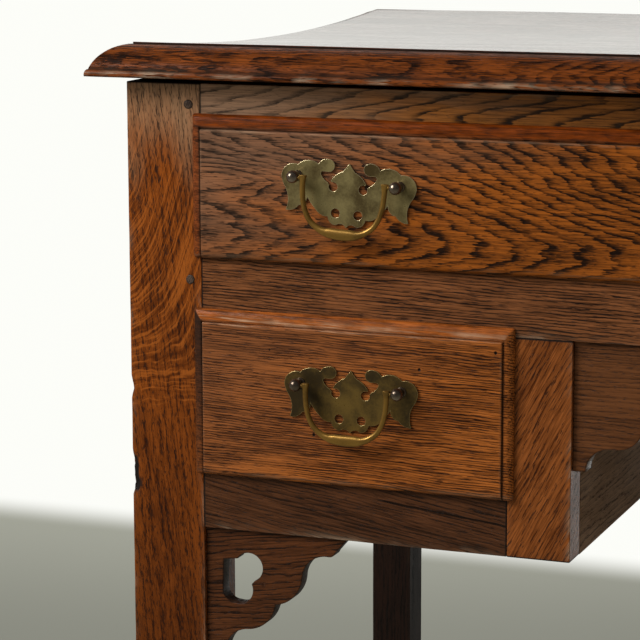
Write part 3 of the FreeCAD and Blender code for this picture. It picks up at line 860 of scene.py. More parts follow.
def turned(profile: Array, foot: Array, direction: Array, sides: int) -> Array:
    """Lattice of a turned shape.

    Args:
        profile: (n, 2) distances along the axis and radii.
        foot: start of the axis.
        direction: unit vector along the axis.
        sides: points round the axis.

    Returns:
        (n, sides, 3) points: foot + direction * distance + radius * (cos, sin) across the axis.
    """
    helper = np.array([0.0, 0.0, 1.0]) if abs(direction[2]) < 0.9 else np.array([1.0, 0.0, 0.0])
    side = np.cross(direction, helper)
    side /= np.linalg.norm(side)
    other = np.cross(direction, side)
    angle = np.linspace(0.0, 2.0 * np.pi, sides, endpoint=False)[None, :, None]
    distance, radius = profile[:, 0][:, None, None], profile[:, 1][:, None, None]
    return foot + direction * distance + radius * (np.cos(angle) * side + np.sin(angle) * other)


def joined(lattices: list[Array]) -> tuple[Array, Array]:
    """Points and faces of several lattices as one mesh."""
    points = [lattice.reshape(-1, 3) for lattice in lattices]
    starts = np.cumsum([0] + [len(part) for part in points[:-1]])
    faces = [lattice_faces(*lattice.shape[:2]) + start for lattice, start in zip(lattices, starts)]
    return np.concatenate(points), np.concatenate(faces)


def eased_copy(name: str, node: str, ease: float, worn: float,
               dirt: float = 0.0) -> bpy.types.Object:
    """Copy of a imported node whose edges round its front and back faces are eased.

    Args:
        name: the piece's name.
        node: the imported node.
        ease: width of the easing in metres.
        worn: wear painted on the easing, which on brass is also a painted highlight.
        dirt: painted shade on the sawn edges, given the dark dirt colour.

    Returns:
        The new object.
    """
    shape = bmesh.new()
    shape.from_mesh(frame["nodes"][node].data)
    bmesh.ops.remove_doubles(shape, verts=shape.verts, dist=HAIR)
    bmesh.ops.dissolve_limit(shape, angle_limit=math.radians(0.4), verts=shape.verts,
                             edges=shape.edges)
    shape.normal_update()
    arris = shape.faces.layers.float.new("arris")
    scar = shape.faces.layers.float.new("scar")

    def is_flat(face: bmesh.types.BMFace) -> bool:
        """Whether the face looks straight to the front or to the back."""
        return abs(face.normal.y) > 0.99

    # Painted shade: the sawn side faces get the dark dirt colour.
    for face in shape.faces:
        face[scar] = 0.0 if is_flat(face) else dirt
    rims = [edge for edge in shape.edges
            if len(edge.link_faces) == 2 and is_flat(edge.link_faces[0])
            != is_flat(edge.link_faces[1])]
    eased = bmesh.ops.bevel(shape, geom=rims, offset=ease, segments=3, profile=0.5,
                            affect="EDGES", clamp_overlap=True)
    for face in eased["faces"]:
        face[arris] = worn
    bmesh.ops.triangulate(shape, faces=[face for face in shape.faces if len(face.verts) > 4])
    for face in shape.faces:
        face.smooth = not is_flat(face)
    mesh = bpy.data.meshes.new(name)
    shape.to_mesh(mesh)
    shape.free()
    return placed(name, mesh)


def dress(piece: bpy.types.Object, material: bpy.types.Material, body: str,
          node: str) -> None:
    """Gives a piece its finish and its body, and has it stand for its node."""
    piece.data.materials.clear()
    piece.data.materials.append(material)
    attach(piece, body)
    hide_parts(node)
    log.info("%s: %d faces on %s", piece.name, len(piece.data.polygons), body)


def finish_node(node: str, material: bpy.types.Material) -> None:
    """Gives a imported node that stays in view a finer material."""
    for place in frame["nodes"][node].material_slots:
        place.material = material
    log.info("%s: packed shape, %s", node, material.name)


# ---- Sub-assemblies --------------------


@dataclass
class TopBoard:
    """Cupped top board with a thumb moulding and a bead on its four edges."""

    fillet: float = 1.2 * MM
    thumb_run: float = 21.5 * MM
    thumb_drop: float = 14.9 * MM
    bead_height: float = 6.6 * MM
    bead_reach: float = 2.0 * MM
    cup_radius: float = 2590.0 * MM
    cup_line: float = 250.0 * MM
    wave: float = 0.35 * MM
    seed: int = 42

    def __post_init__(self) -> None:
        """Reads the board's place from the frame."""
        self.low, self.high = corners_of("top_board")
        self.thickness = self.fillet + self.thumb_drop + self.bead_height
        front = corners_of("front_top_rail")[0][1]
        self.cup = Cup(self.cup_radius, front + self.cup_line, self.thickness, self.low[2])

    def rings(self, half_depth: float) -> Array:
        """Inset, depth below the arris and corner of each ring, from the foot to the crown."""
        run = self.thumb_run + self.bead_reach
        foot = self.fillet + self.thumb_drop
        radius = (self.thumb_run ** 2 + self.thumb_drop ** 2) / (2.0 * self.thumb_drop)
        sweep = np.linspace(math.asin(self.thumb_run / radius), 0.0, 12)
        thumb = np.stack([run - radius * np.sin(sweep),
                          self.fillet + radius * (1.0 - np.cos(sweep)), sweep * 0.0], axis=1)
        turn = np.linspace(-np.pi / 2.0, np.pi / 2.0, 9)[:-1]
        middle = foot + self.bead_height / 2.0
        bead = np.stack([self.bead_reach * (1.0 - np.cos(turn)),
                         middle - self.bead_height / 2.0 * np.sin(turn), turn * 0.0], axis=1)
        bead[:, 2] = thumb[:, 2] = 1.5 * MM
        eased = 0.35 * MM
        fillet = np.array([[run, self.fillet - 0.1 * MM, 1.0 * MM],
                           [run, eased, 1.0 * MM],
                           [run + eased * 0.3, eased * 0.3, 1.0 * MM],
                           [run + eased, 0.0, 1.0 * MM],
                           [run + 3.0 * MM, 0.0, 1.0 * MM]])
        under = towards_middle((self.bead_reach + 0.5 * MM,) * 3, half_depth, self.thickness, 9)
        crown = towards_middle((run + 8.0 * MM,) * 3, half_depth, 0.0, 14)
        edge = np.concatenate([bead, thumb, fillet])[:, [0, 0, 0, 1, 2]]
        return np.concatenate([under[::-1], edge, crown])

    def build(self) -> bpy.types.Object:
        """Makes the board: each ring's height is the crown over its arris less its depth."""
        middle = (self.low + self.high) / 2.0
        half = (self.high - self.low) / 2.0
        board = RingedBoard("top_board_oak", half[0], half[1], self.rings(half[1]))
        first, second, depth, rim = board.lattice()
        x, y = middle[0] + first, middle[1] + second
        edge = half[1] - self.thumb_run - self.bead_reach
        arris = np.clip(second, -edge, edge) + middle[1]
        z = self.cup.crown(arris) - depth
        below, on_crown = depth > self.thickness - HAIR, depth < HAIR
        z = np.where(below, self.cup.under(y), z)
        z = np.maximum(z, self.cup.under(y))
        points = np.stack([x, y, z], axis=-1)
        worn = Ripple(self.seed, 45 * MM)(points) + 0.6 * Ripple(self.seed + 1, 11 * MM)(points)
        slope = unit(depth / (4.0 * MM)) * ~below
        points[..., 0] -= rim.u * slope * self.wave * (0.9 + worn)
        points[..., 1] -= rim.v * slope * self.wave * (0.9 + worn)
        points[..., 2] += Ripple(self.seed + 2, 210 * MM)(points) * self.wave * on_crown
        # Painted highlight: a pale band along the bead's upper part, laid on as rubbed wear.
        bead = bell(depth - self.thickness + self.bead_height * 0.6, 1.8 * MM)
        rubbed = bead * np.clip(0.36 + worn * 0.6, 0.0, 0.85) * ~below
        quirk = bell(depth - self.fillet - self.thumb_drop, 0.7 * MM)
        quirk += bell(depth - self.fillet, 0.3 * MM)
        quirk += 1.3 * ((depth > 0.2 * MM) & (depth < self.fillet + 0.05 * MM))
        return lattice_piece(board.name, points, {"arris": unit(rubbed), "scar": unit(quirk * 0.65),
                                                  "polish": 1.0 * on_crown})


# Bruises on the outer front arris of a front leg: in millimetres the height, the reach along X, Y
# and Z and the push inwards and backwards, and then the dirt.
BRUISES = (
    (436.5, (4.6, 3.2, 10.5), (0.7, 1.7), 1.0),
    (426.0, (5.6, 3.5, 5.5), (1.0, 1.8), 1.0),
    (490.5, (3.0, 4.0, 6.0), (1.0, 0.5), 0.35),
)


@dataclass
class Carcass:
    """Frame of legs, rails and boards, with its brackets and its pegs."""

    cup: Cup
    chamfer_width: float = 9.0 * MM
    chamfer_drop: float = 68.0 * MM      # from the bottom rail down to the chamfer's stop
    chamfer_stop: float = 24.0 * MM
    spare: float = 4.0 * MM              # height of a board that the cupped top then trims
    peg_radius: float = 3.0 * MM
    peg_inset: float = 7.7 * MM
    top_peg_rise: float = 11.2 * MM
    mid_peg_drop: float = 20.4 * MM
    peg_proud: float = 0.5 * MM
    peg_depth: float = 6.0 * MM
    peg_sides: int = 24
    side_peg_spacing: float = 170.0 * MM
    crack: Point = (-225.0, 431.0, -0.117)      # the left bottom rail's, as Oak's shake

    def timber(self, node: str, along: Axis, seed: int, material: bpy.types.Material,
               ends: tuple[float, float] | None = None, rise: float = 0.0,
               **details: object) -> None:
        """Builds one squared timber in place of its node.

        Args:
            node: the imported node.
            along: direction of the timber.
            seed: seed of its random waves.
            material: its finish.
            ends: where it starts and ends along that direction, if not where the node does.
            rise: height added at its top.
            details: further fields of the Timber.
        """
        low, high = corners_of(node)
        if ends:
            low[along.value], high[along.value] = ends
        high[2] += rise
        piece = Timber(node + "_oak", low, high, along, seed, cup=self.cup, **details).build()
        dress(piece, material, "carcass", node)

    def legs(self) -> None:
        """Four legs: the front pair thick and chamfered inside, the rear pair slender."""
        chamfer_top = corners_of("bottom_rail_left")[0][2] - self.chamfer_drop
        for number, side in enumerate(SIDES):
            inward = 1.0 - 2.0 * number
            box = corners_of("front_leg_" + side)
            edge, front = box[number][0], box[0][1]
            dents = [Dent(np.array([edge, front, height * MM]), np.array(reach) * MM,
                          np.array([inward * push[0], push[1], 0.0]) * MM, dirt)
                     for height, reach, push, dirt in BRUISES]
            material = oak(
                "front_leg_" + side, grain=Axis.Z, across=Axis.X, ring=4.2, wander=10.0,
                tilt=-6.0 * inward, origin=(edge, front, 0.5), rays=inward, bands=0.3,
                soot=0.6, streaks=0.8, light=(138, 70, 21), dark=(62, 24, 3),
                pore=(28, 12, 4), pore_width=0.7, dash=4.0, stroke=11.0, open=0.59,
                bloom=(188, 146, 108), bloom_low=612.0, bloom_high=705.0,
                bloom_share=0.95, paleness=0.3)
            self.timber("front_leg_" + side, Axis.Z, 100 + number * 10, material,
                        dents=dents, spacing=3.0 * MM, chamfer=Chamfer(
                            number, self.chamfer_width, chamfer_top, self.chamfer_stop))
            low, _ = corners_of("rear_leg_" + side)
            # Painted shade: the rear legs get near-black colours for the shade they stand in under
            # the carcass.
            material = oak(
                "rear_leg_" + side, grain=Axis.Z, across=Axis.X, ring=3.4,
                origin=(low[0] - 0.2, low[1], 0.3), light=(38, 19, 9),
                dark=(18, 9, 4), pore=(12, 7, 4), roughness=0.62, paleness=0.04)
            self.timber("rear_leg_" + side, Axis.Z, 140 + number * 10, material)

    def rails(self) -> None:
        """Top and middle rails, the bottom rails and the stiles of the kneehole."""
        shoulders = corners_of("front_leg_left")[1][0], corners_of("front_leg_right")[0][0]
        front = corners_of("front_top_rail")[0][1]
        # Painted light: the top rail's colours and grey patina are made lighter against the shade
        # under the top board.
        material = oak(
            "top_rail", ring=9.0, arch=-0.3, blunt=2.0, wander=7.0, band=0.4, open=0.66,
            ragged=0.35, bands=0.85, streaks=0.8, origin=(-0.1, front, 0.3),
            light=(160, 97, 40), dark=(46, 27, 11), pore=(24, 16, 10),
            bloom=(180, 142, 112), bloom_low=740.0, bloom_high=850.0, bloom_lean=0.5,
            bloom_share=0.85)
        self.timber("front_top_rail", Axis.X, 200, material, shoulders)
        _, front, stile_top = corners_of("front_mid_rail")[0]
        material = oak(
            "middle_rail", ring=2.1, origin=(0.0, front, 0.3), wander=6.0, tilt=-1.5,
            light=(140, 86, 50), dark=(44, 25, 14), pore=(24, 14, 9),
            dash=9.0, pore_width=0.6, open=0.6, specular=0.1, bands=0.7)
        self.timber("front_mid_rail", Axis.X, 210, material, shoulders)
        for number, side in enumerate(SIDES):
            stile = corners_of("stile_" + side)
            material = oak(
                "stile_" + side, grain=Axis.Z, across=Axis.X, ring=3.4, wander=7.0,
                origin=(stile[0][0] - 0.12, front, 0.42), light=(152, 86, 40),
                dark=(70, 30, 6), pore_width=0.6, tilt=(28.0, -22.0)[number],
                bands=0.3, open=0.64, stroke=18.0, specular=0.1)
            self.timber("stile_" + side, Axis.Z, 220 + number * 10, material,
                        (stile[0][2], stile_top))
            # The bottom rails' dark colour is partly their wood and partly painted shade under the
            # drawers' lips.
            material = oak(
                "bottom_rail_" + side, tilt=(-9.0, 7.0)[number], light=(94, 57, 34),
                dark=(40, 21, 9), pore=(22, 13, 8), shake=(self.crack, None)[number])
            self.timber("bottom_rail_" + side, Axis.X, 240 + number * 10, material,
                        tuple(sorted((shoulders[number], stile[number][0]))))

    def boards(self) -> None:
        """Side boards and back board between the legs."""
        for number, side in enumerate(SIDES):
            material = oak(
                "side_board_" + side, grain=Axis.Y, ring=7.0, spread=0.55, arch=0.09,
                blunt=9.0, wander=22.0, origin=(0.0, 0.25, 0.53), light=(132, 78, 40),
                dark=(74, 38, 16), streaks=0.6, bands=0.45, dash=8.0, paleness=0.2,
                bloom_low=600.0, bloom_high=720.0, bloom_share=0.4)
            ends = corners_of("front_leg_" + side)[1][1], corners_of("rear_leg_" + side)[0][1]
            self.timber("side_board_" + side, Axis.Y, 300 + number * 10, material, ends,
                        self.spare, spacing=9.0 * MM, hollow=0.3 * MM)
        material = oak(
            "back_board", ring=9.0, spread=0.5, arch=0.07, blunt=10.0, wander=26.0,
            origin=(0.2, 0.2, 0.52), light=(122, 84, 54), dark=(78, 50, 30),
            streaks=0.6, bands=0.45, dash=8.0, roughness=0.62, paleness=0.15)
        ends = corners_of("rear_leg_left")[1][0], corners_of("rear_leg_right")[0][0]
        self.timber("back_board", Axis.X, 320, material, ends, self.spare,
                    spacing=12.0 * MM, hollow=0.3 * MM)

    def fretwork(self) -> None:
        """Pierced brackets and the shaped board over the kneehole."""
        for number, side in enumerate(SIDES):
            node = "bracket_" + side
            low, _ = corners_of(node)
            # The brackets' dark colour is partly their wood and partly painted shade on these
            # set-back pieces.
            material = oak(node, ring=3.4, wander=16.0, tilt=(8.4, -8.4)[number], bands=0.7,
                           origin=(low[0], low[1], low[2] - 0.1), light=(98, 56, 30),
                           dark=(38, 19, 8), pore=(22, 13, 8))
            # The last number is painted shade on the brackets' sawn edges.
            piece = eased_copy(node + "_oak", node, 0.7 * MM, 0.0, 0.7)
            dress(piece, material, "carcass", node)
        material = oak("apron", ring=3.0, origin=(0.0, 0.0, 0.3), light=(112, 68, 38),
                       dark=(70, 40, 20))
        piece = eased_copy("kneehole_apron_oak", "kneehole_apron", 0.8 * MM, 0.0)
        dress(piece, material, "carcass", "kneehole_apron")

    def peg(self, head: Array, inward: Array, seed: int) -> Array:
        """Lattice of one riven peg, whose section has a few soft facets."""
        radius, proud, depth = self.peg_radius, self.peg_proud, self.peg_depth
        profile = np.array([[0.0, 0.0], [0.05 * MM, radius * 0.55], [0.12 * MM, radius * 0.82],
                            [0.4 * MM, radius * 0.97], [1.2 * MM, radius], [depth, radius],
                            [depth, 0.0]])
        lattice = turned(profile, head - inward * proud, inward, self.peg_sides)
        centre = head + inward * np.sum((lattice - head) * inward, axis=-1, keepdims=True)
        angle = np.linspace(0.0, 2.0 * np.pi, self.peg_sides, endpoint=False)[None, :, None]
        facets = 1.0 + 0.035 * np.cos(angle * 7.0 + seed) + 0.03 * np.cos(angle * 2.0 + seed * 2)
        return centre + (lattice - centre) * facets

    def pegs(self) -> None:
        """Pegs in the faces and the outer sides of the legs."""
        heads: list[tuple[Array, Array]] = []
        heights = (corners_of("front_top_rail")[0][2] + self.top_peg_rise,
                   corners_of("front_mid_rail")[1][2] - self.mid_peg_drop)
        for number, side in enumerate(SIDES):
            inward = 1.0 - 2.0 * number
            front_leg, rear_leg = corners_of("front_leg_" + side), corners_of("rear_leg_" + side)
            shoulder = front_leg[1 - number][0]
            for height in heights:
                place = [shoulder - inward * self.peg_inset, front_leg[0][1], height]
                heads.append((np.array(place), np.array([0.0, 1.0, 0.0])))
            board_low = corners_of("side_board_" + side)[0][2]
            middle = (board_low + float(self.cup.under(np.array(self.cup.line)))) / 2.0
            for height in (middle - self.side_peg_spacing / 2, middle + self.side_peg_spacing / 2):
                for x, y in ((front_leg[number][0], front_leg[1][1] - self.peg_inset),
                             (rear_leg[number][0], rear_leg[0][1] + self.peg_inset)):
                    heads.append((np.array([x, y, height]), np.array([inward, 0.0, 0.0])))
        lattices = [self.peg(head, inward, number) for number, (head, inward) in enumerate(heads)]
        rim = np.repeat([0.0, 0.0, 0.15, 0.8, 1.0, 1.0, 1.0], self.peg_sides)
        piece = make_piece("pegs_oak", *joined(lattices), {"scar": np.tile(rim, len(heads))})
        material = oak("pegs", grain=Axis.Y, across=Axis.X, ring=1.4, wander=2.0,
                       light=(98, 80, 68), dark=(44, 34, 28), roughness=0.36)
        dress(piece, material, "carcass", "frame_pegs")

    def inside(self) -> None:
        """Plain boards and bars that carry the drawers."""
        bars = oak("bars", grain=Axis.Y, ring=4.0, origin=(0.0, 0.0, 0.3),
                   light=(150, 112, 76), dark=(108, 76, 48), roughness=0.7)
        for node in ("upper_runners", "upper_guides", "upper_kickers", "lower_runners",
                     "lower_guides", "partition_left", "partition_right"):
            finish_node(node, bars)
        finish_node("top_blocks", oak("blocks", ring=4.0, light=(140, 104, 70),
                                      dark=(98, 70, 44), roughness=0.75))

    def build(self) -> None:
        """Builds every fixed piece but the top board."""
        self.legs()
        self.rails()
        self.boards()
        self.fretwork()
        self.pegs()
        self.inside()


# Plain boards of a drawer, by their places in it, with their finishes.
DRAWER_BOARDS = (
    (("side_left", "side_right"),
     Oak("sides", grain=Axis.Y, ring=3.6, origin=(0.0, 0.0, 0.35), light=(156, 118, 80),
         dark=(112, 80, 50), pore=(70, 48, 32), roughness=0.62)),
    (("bottom",),
     Oak("bottom", across=Axis.Y, ring=5.0, spread=0.6, arch=0.05, blunt=14.0,
         light=(152, 116, 80), dark=(112, 82, 52), pore=(72, 50, 34),
         roughness=0.66)),
    (("back",),
     Oak("back", ring=3.8, origin=(0.0, 0.0, 0.3), light=(150, 112, 76),
         dark=(108, 78, 48), pore=(70, 48, 32), roughness=0.66)),
)


@dataclass
class Drawer:
    """Drawer with a lipped front, moulded on three edges, and dovetailed boards."""

    name: str
    seed: int
    finish: Oak
    moulding: float              # width along the upper edge
    upper_light_and_wear: float = 0.3         # painted light: share of the groove's dark line left off along that edge, whose step faces the light; also pale wear on its slope
    worn_slope: float = 2.6 * MM
    left_side_shade: float = 0.65     # painted shade on the left side's moulding
    side_moulding: float = 6.8 * MM
    overlap: float = 6.0 * MM
    side_overlap: float = 4.6 * MM
    clearance: float = 0.8 * MM
    edge: float = 0.8 * MM
    foot_run: float = 4.5 * MM   # rounding of the lower edge
    height: float = 6.0 * MM
    step: float = 1.2 * MM
    quirk: float = 0.9 * MM
    wave: float = 0.22 * MM

    def rings(self, half_height: float, body: float) -> Array:
        """Rings from the middle of the back to the middle of the field.

        The lower edge has no moulding, so the rings of the moulding crowd together there.
        """
        play = self.clearance + 0.15 * MM
        hole = np.array([self.side_overlap, self.overlap, self.overlap]) + play
        shape = [[*hole, -body + 0.5 * MM, 0.6 * MM], [*hole, -0.1 * MM, 0.6 * MM],
                 [*(hole - 0.3 * MM), 0.02 * MM, 0.6 * MM],
                 [0.6 * MM, 0.6 * MM, 0.6 * MM, 0.02 * MM, 1.2 * MM],
                 [0.15 * MM, 0.15 * MM, 0.1 * MM, 0.25 * MM, 1.5 * MM]]
        rise = self.height - self.step
        widths = np.array([self.side_moulding, self.moulding, 0.55 * MM])
        for angle in np.linspace(0.0, np.pi / 2.0, 9):
            share = 1.0 - math.cos(angle)
            inset = 0.1 * MM + (widths - self.quirk * np.array([1, 1, 0.1])) * share
            height = self.edge + (rise - self.edge) * math.sin(angle)
            shape.append([*inset, height, 1.6 * MM])
        for back, height in ((0.75, rise - 0.15 * MM), (0.4, rise - 0.65 * MM),
                             (0.1, rise - 0.6 * MM), (0.0, rise + 0.2 * MM),
                             (-0.1, self.height - 0.3 * MM), (-0.45, self.height)):
            inset = widths - self.quirk * back * np.array([1, 1, 0.1])
            shape.append([*inset, height, 0.6 * MM])
        for inset, foot in ((1.2, 1.1), (2.0, 1.9), (3.0, 2.9), (4.2, 4.0), (5.6, 5.2)):
            shape.append([self.side_moulding + inset * MM, self.moulding + inset * MM,
                          foot * MM, self.height, 0.4 * MM])
        behind = towards_middle(tuple(hole + 0.8 * MM), half_height, -body, 5)[::-1]
        start = (self.side_moulding + 8 * MM, self.moulding + 8 * MM, 7 * MM)
        return np.concatenate([behind, shape, towards_middle(start, half_height, self.height, 9)])

    def front(self) -> bpy.types.Object:
        """Makes the front: a ring's point is its place in the plane, and its height out of it.

        Over the lower edge the height is at most edge + (height - edge) * sqrt(1 - (1 - d/r)^2),
        for a distance d above the foot and a run r.
        """
        node = self.name + "_drawer_front"
        low, high = corners_of(node)
        plane = low[1] + self.height
        middle, half = (low + high) / 2.0, (high - low) / 2.0
        rings = self.rings(half[2], high[1] - plane)
        board = RingedBoard(node + "_oak", half[0], half[2], rings, 5.0 * MM)
        first, second, height, rim = board.lattice()
        near_foot = unit((second + half[2]) / self.foot_run)
        limit = self.edge + (self.height - self.edge) * np.sqrt(1.0 - (1.0 - near_foot) ** 2)
        height = np.minimum(height, limit)
        points = np.stack([middle[0] + first, plane - height, middle[2] + second], axis=-1)
        shown = unit(height / self.height)
        slow = Ripple(self.seed, 130 * MM)(points)
        quick = Ripple(self.seed + 1, 16 * MM)(points)
        points[..., 1] += shown * self.wave * (1.0 + 0.8 * slow) + shown * 0.05 * MM * quick
        across, above = half[0] - np.abs(first), half[2] - second
        inset = np.minimum(across / self.side_moulding, above / self.moulding)
        lip = (shown > 0.02) & (inset < 1.0)
        nibble = lip * unit(quick) * self.wave
        points[..., 0] -= rim.u * nibble
        points[..., 2] -= rim.v * nibble
        upper = above / self.moulding < across / self.side_moulding + 0.01
        past = (inset - 1.0) * np.where(upper, self.moulding, self.side_moulding)
        # Dark line in the groove inside the moulding: dirt, with painted shade on the sides.
        dirt = bell(past + 0.4 * MM, 0.65 * MM) * (shown > 0.1)
        dirt = dirt * (1.0 - self.upper_light_and_wear * upper) * (0.8 + 0.2 * slow)
        # Pale line at the field's edge: wear, and along the upper edge also a painted highlight
        # where the step faces the light.
        brow = bell(past - 0.5 * MM, 0.6 * MM) * (0.15 + 0.45 * upper)
        slope = bell(past + self.worn_slope, 1.9 * MM) * upper * self.upper_light_and_wear ** 3
        # Painted shade: the left side's moulding, turned away from the light, gets the dark dirt
        # colour.
        near_left = lip & (first < 0.0) & ~upper
        dirt = np.maximum(dirt, near_left * self.left_side_shade * (1.0 + 0.3 * slow))
        foot = bell(second + half[2] - 2.5 * MM, 1.6 * MM) * 0.2
        rubbed = (brow + slope + foot) * (0.7 + 0.4 * slow + 0.45 * quick) * (shown > 0.1)
        buffed = np.maximum(upper, near_left * 0.8) * unit(4.0 - 4.0 * inset) * (shown > 0.02)
        return lattice_piece(board.name, points, {"arris": unit(rubbed), "buffed": buffed,
                                                  "scar": unit(dirt)})

    def build(self) -> None:
        """Builds the front and finishes the four plain boards."""
        body = self.name + "_drawer"
        dress(self.front(), self.finish.material(), body, body + "_front")
        for places, finish in DRAWER_BOARDS:
            material = replace(finish, name="oak_%s_%s" % (body, finish.name)).material()
            for place in places:
                finish_node("%s_%s" % (body, place), material)


@dataclass
class Handle:
    """Back plate, ball posts and swinging bail of one drawer pull."""

    name: str
    drawer: str
    brass: bpy.types.Material
    rubbed: bpy.types.Material
    toned: bpy.types.Material
    iron: bpy.types.Material
    spacing: float = 66.4 * MM   # between the two posts
    ball: float = 4.0 * MM       # radius, like collar, neck, shank and pin
    collar: float = 3.2 * MM
    ball_reach: float = 9.5 * MM  # from the drawer front to the pins' line
    neck: float = 2.3 * MM
    plate: float = 1.2 * MM      # thickness
    shank: float = 2.1 * MM
    shank_length: float = 26.5 * MM
    post_sides: int = 32
    pin: float = 1.2 * MM
    pin_sides: int = 16
    half_width: float = 26.5 * MM
    arm: float = 3.3 * MM        # thickness of the bail's arms
    drop: float = 32.1 * MM      # from the pins' line to the grip's middle
    grip_height: float = 7.0 * MM
    grip_depth: float = 4.4 * MM
    bail_sides: int = 28
    bail_steps: int = 190

    def __post_init__(self) -> None:
        """Reads the pins' line from the bail's hinge."""
        name = "bail_hinge_" + self.name
        hinge = next(joint for joint in frame["joints"] if joint["name"] == name)
        self.centre = np.array(hinge["pos_m"])
        self.across = -np.array(hinge["axis"])
        self.out = np.array([0.0, -1.0, 0.0])
        self.up = np.cross(self.across, -self.out)

    def at(self, across: Array | float, up: Array | float, out: Array | float = 0.0) -> Array:
        """Points from their distances across, up and out from the middle of the pins' line."""
        return (self.centre + np.multiply.outer(across, self.across)
                + np.multiply.outer(up, self.up) + np.multiply.outer(out, self.out))

    def posts(self) -> bpy.types.Object:
        """Makes the two turned posts, each a shank, a collar, a neck and a ball."""
        foot = -self.ball_reach - self.shank_length
        seat = -self.ball_reach + self.plate
        angle = np.linspace(0.5, np.pi, 14)
        ball = np.stack([-np.cos(angle) * self.ball, np.sin(angle) * self.ball], axis=1)
        stem = np.array([[foot, 0.0], [foot, self.shank * 0.8], [foot + 0.4 * MM, self.shank],
                         [seat, self.shank], [seat, self.collar],
                         [seat + 0.35 * MM, self.collar * 1.04],
                         [seat + 0.8 * MM, self.collar * 0.94],
                         [seat + 1.1 * MM, self.neck * 1.15], [seat + 2.2 * MM, self.neck],
                         [-self.ball * 0.95, self.neck * 0.92]])
        profile = np.concatenate([stem, ball])
        profile[-1, 1] = 0.0
        lattices = [turned(profile, self.at(hand * self.spacing / 2.0, 0.0), self.out,
                           self.post_sides) for hand in (-1.0, 1.0)]
        return make_piece("posts_%s_brass" % self.name, *joined(lattices))

    def path(self) -> Array:
        """Sections of the bow, from the head of one arm over the grip to the other's.

        Each gives its middle, the turn of its plane from the vertical, its two widths and how
        square it is, in millimetres and degrees.

        Returns:
            (bail_steps, 6) numbers.
        """
        arm, half, drop = self.arm / MM, self.half_width / MM, self.drop / MM
        grip, deep = self.grip_height / MM, self.grip_depth / MM
        knots = np.array([
            [half, 1.6, 0, 4.6, arm, 1.0],
            [half, 0.7, 0, 4.5, arm, 1.0],
            [half, -1.0, 0, arm * 1.12, arm, 0.8],
            [half, -4.0, 0, arm, arm, 0.3],
            [half - 0.2, -8.0, 3, arm, arm, 0.1],
            [half - 0.8, -13.0, 9, arm, arm, 0.0],
            [half - 2.6, -19.7, 24, arm, arm, 0.0],
            [half - 6.0, -25.5, 42, arm * 1.05, arm, 0.0],
            [half - 11.0, -29.4, 62, arm * 1.2, arm * 1.1, 0.1],
            [half - 15.5, 0.9 - drop, 75, grip * 0.72, deep * 0.94, 0.25],
            [half - 19.5, 0.35 - drop, 83, grip * 0.92, deep * 0.98, 0.3],
            [0.0, -drop, 90, grip, deep, 0.35],
        ])
        other = knots[-2::-1] * np.array([-1, 1, -1, 1, 1, 1]) + np.array([0, 0, 180, 0, 0, 0])
        return smooth_through(np.concatenate([knots, other]), self.bail_steps)

    def bow(self) -> Array:
        """Lattice of the bow: flattened rounds carried along its path, with eased ends."""
        across, up, turn, broad, thick, square = (column[:, None] for column in self.path().T)
        angle = np.linspace(0.0, 2.0 * np.pi, self.bail_sides, endpoint=False)[None, :]
        power = 1.0 - 0.45 * square
        wide, deep = (np.sign(wave) * np.abs(wave) ** power * size / 2.0
                      for wave, size in ((np.cos(angle), broad), (np.sin(angle), thick)))
        turn = np.radians(turn)
        sweep = self.at((across + wide * np.cos(turn)) * MM, (up - wide * np.sin(turn)) * MM,
                        deep * MM)
        scale = np.array([0.0, 0.7, 1.0])[:, None, None]
        head, tail = sweep[0].mean(axis=0), sweep[-1].mean(axis=0)
        rise = np.array([0.35, 0.25, 0.0])[:, None, None] * MM * self.up
        start = head + (sweep[0] - head) * scale + rise
        end = tail + (sweep[-1] - tail) * scale + rise
        return np.concatenate([start[:2], sweep, end[1::-1]])

    def bail(self) -> bpy.types.Object:
        """Makes the bail: its bow and the two pins that turn in the posts."""
        length = self.spacing / 2.0 - self.half_width - self.ball * 0.3
        profile = np.array([[-0.5 * MM, 0.0], [-0.5 * MM, self.pin], [length, self.pin],
                            [length, 0.0]])
        pins = [turned(profile, self.at(hand * self.half_width, 0.0), hand * self.across,
                       self.pin_sides) for hand in (-1.0, 1.0)]
        return make_piece("bail_%s_brass" % self.name, *joined([self.bow(), *pins]))

    def build(self) -> None:
        """Builds the pull's three kinds of brass and finishes its nuts."""
        body = self.drawer + "_drawer"
        node = "back_plate_" + self.name
        plate = eased_copy("plate_%s_brass" % self.name, node, 0.5 * MM, 1.0)
        dress(plate, self.brass, body, node)
        dress(self.posts(), self.toned, body, "handle_posts_" + self.name)
        dress(self.bail(), self.rubbed, "bail_body_" + self.name,
              "bail_" + self.name)
        finish_node("handle_nuts_" + self.name, self.iron)


# ---- Studio --------------------


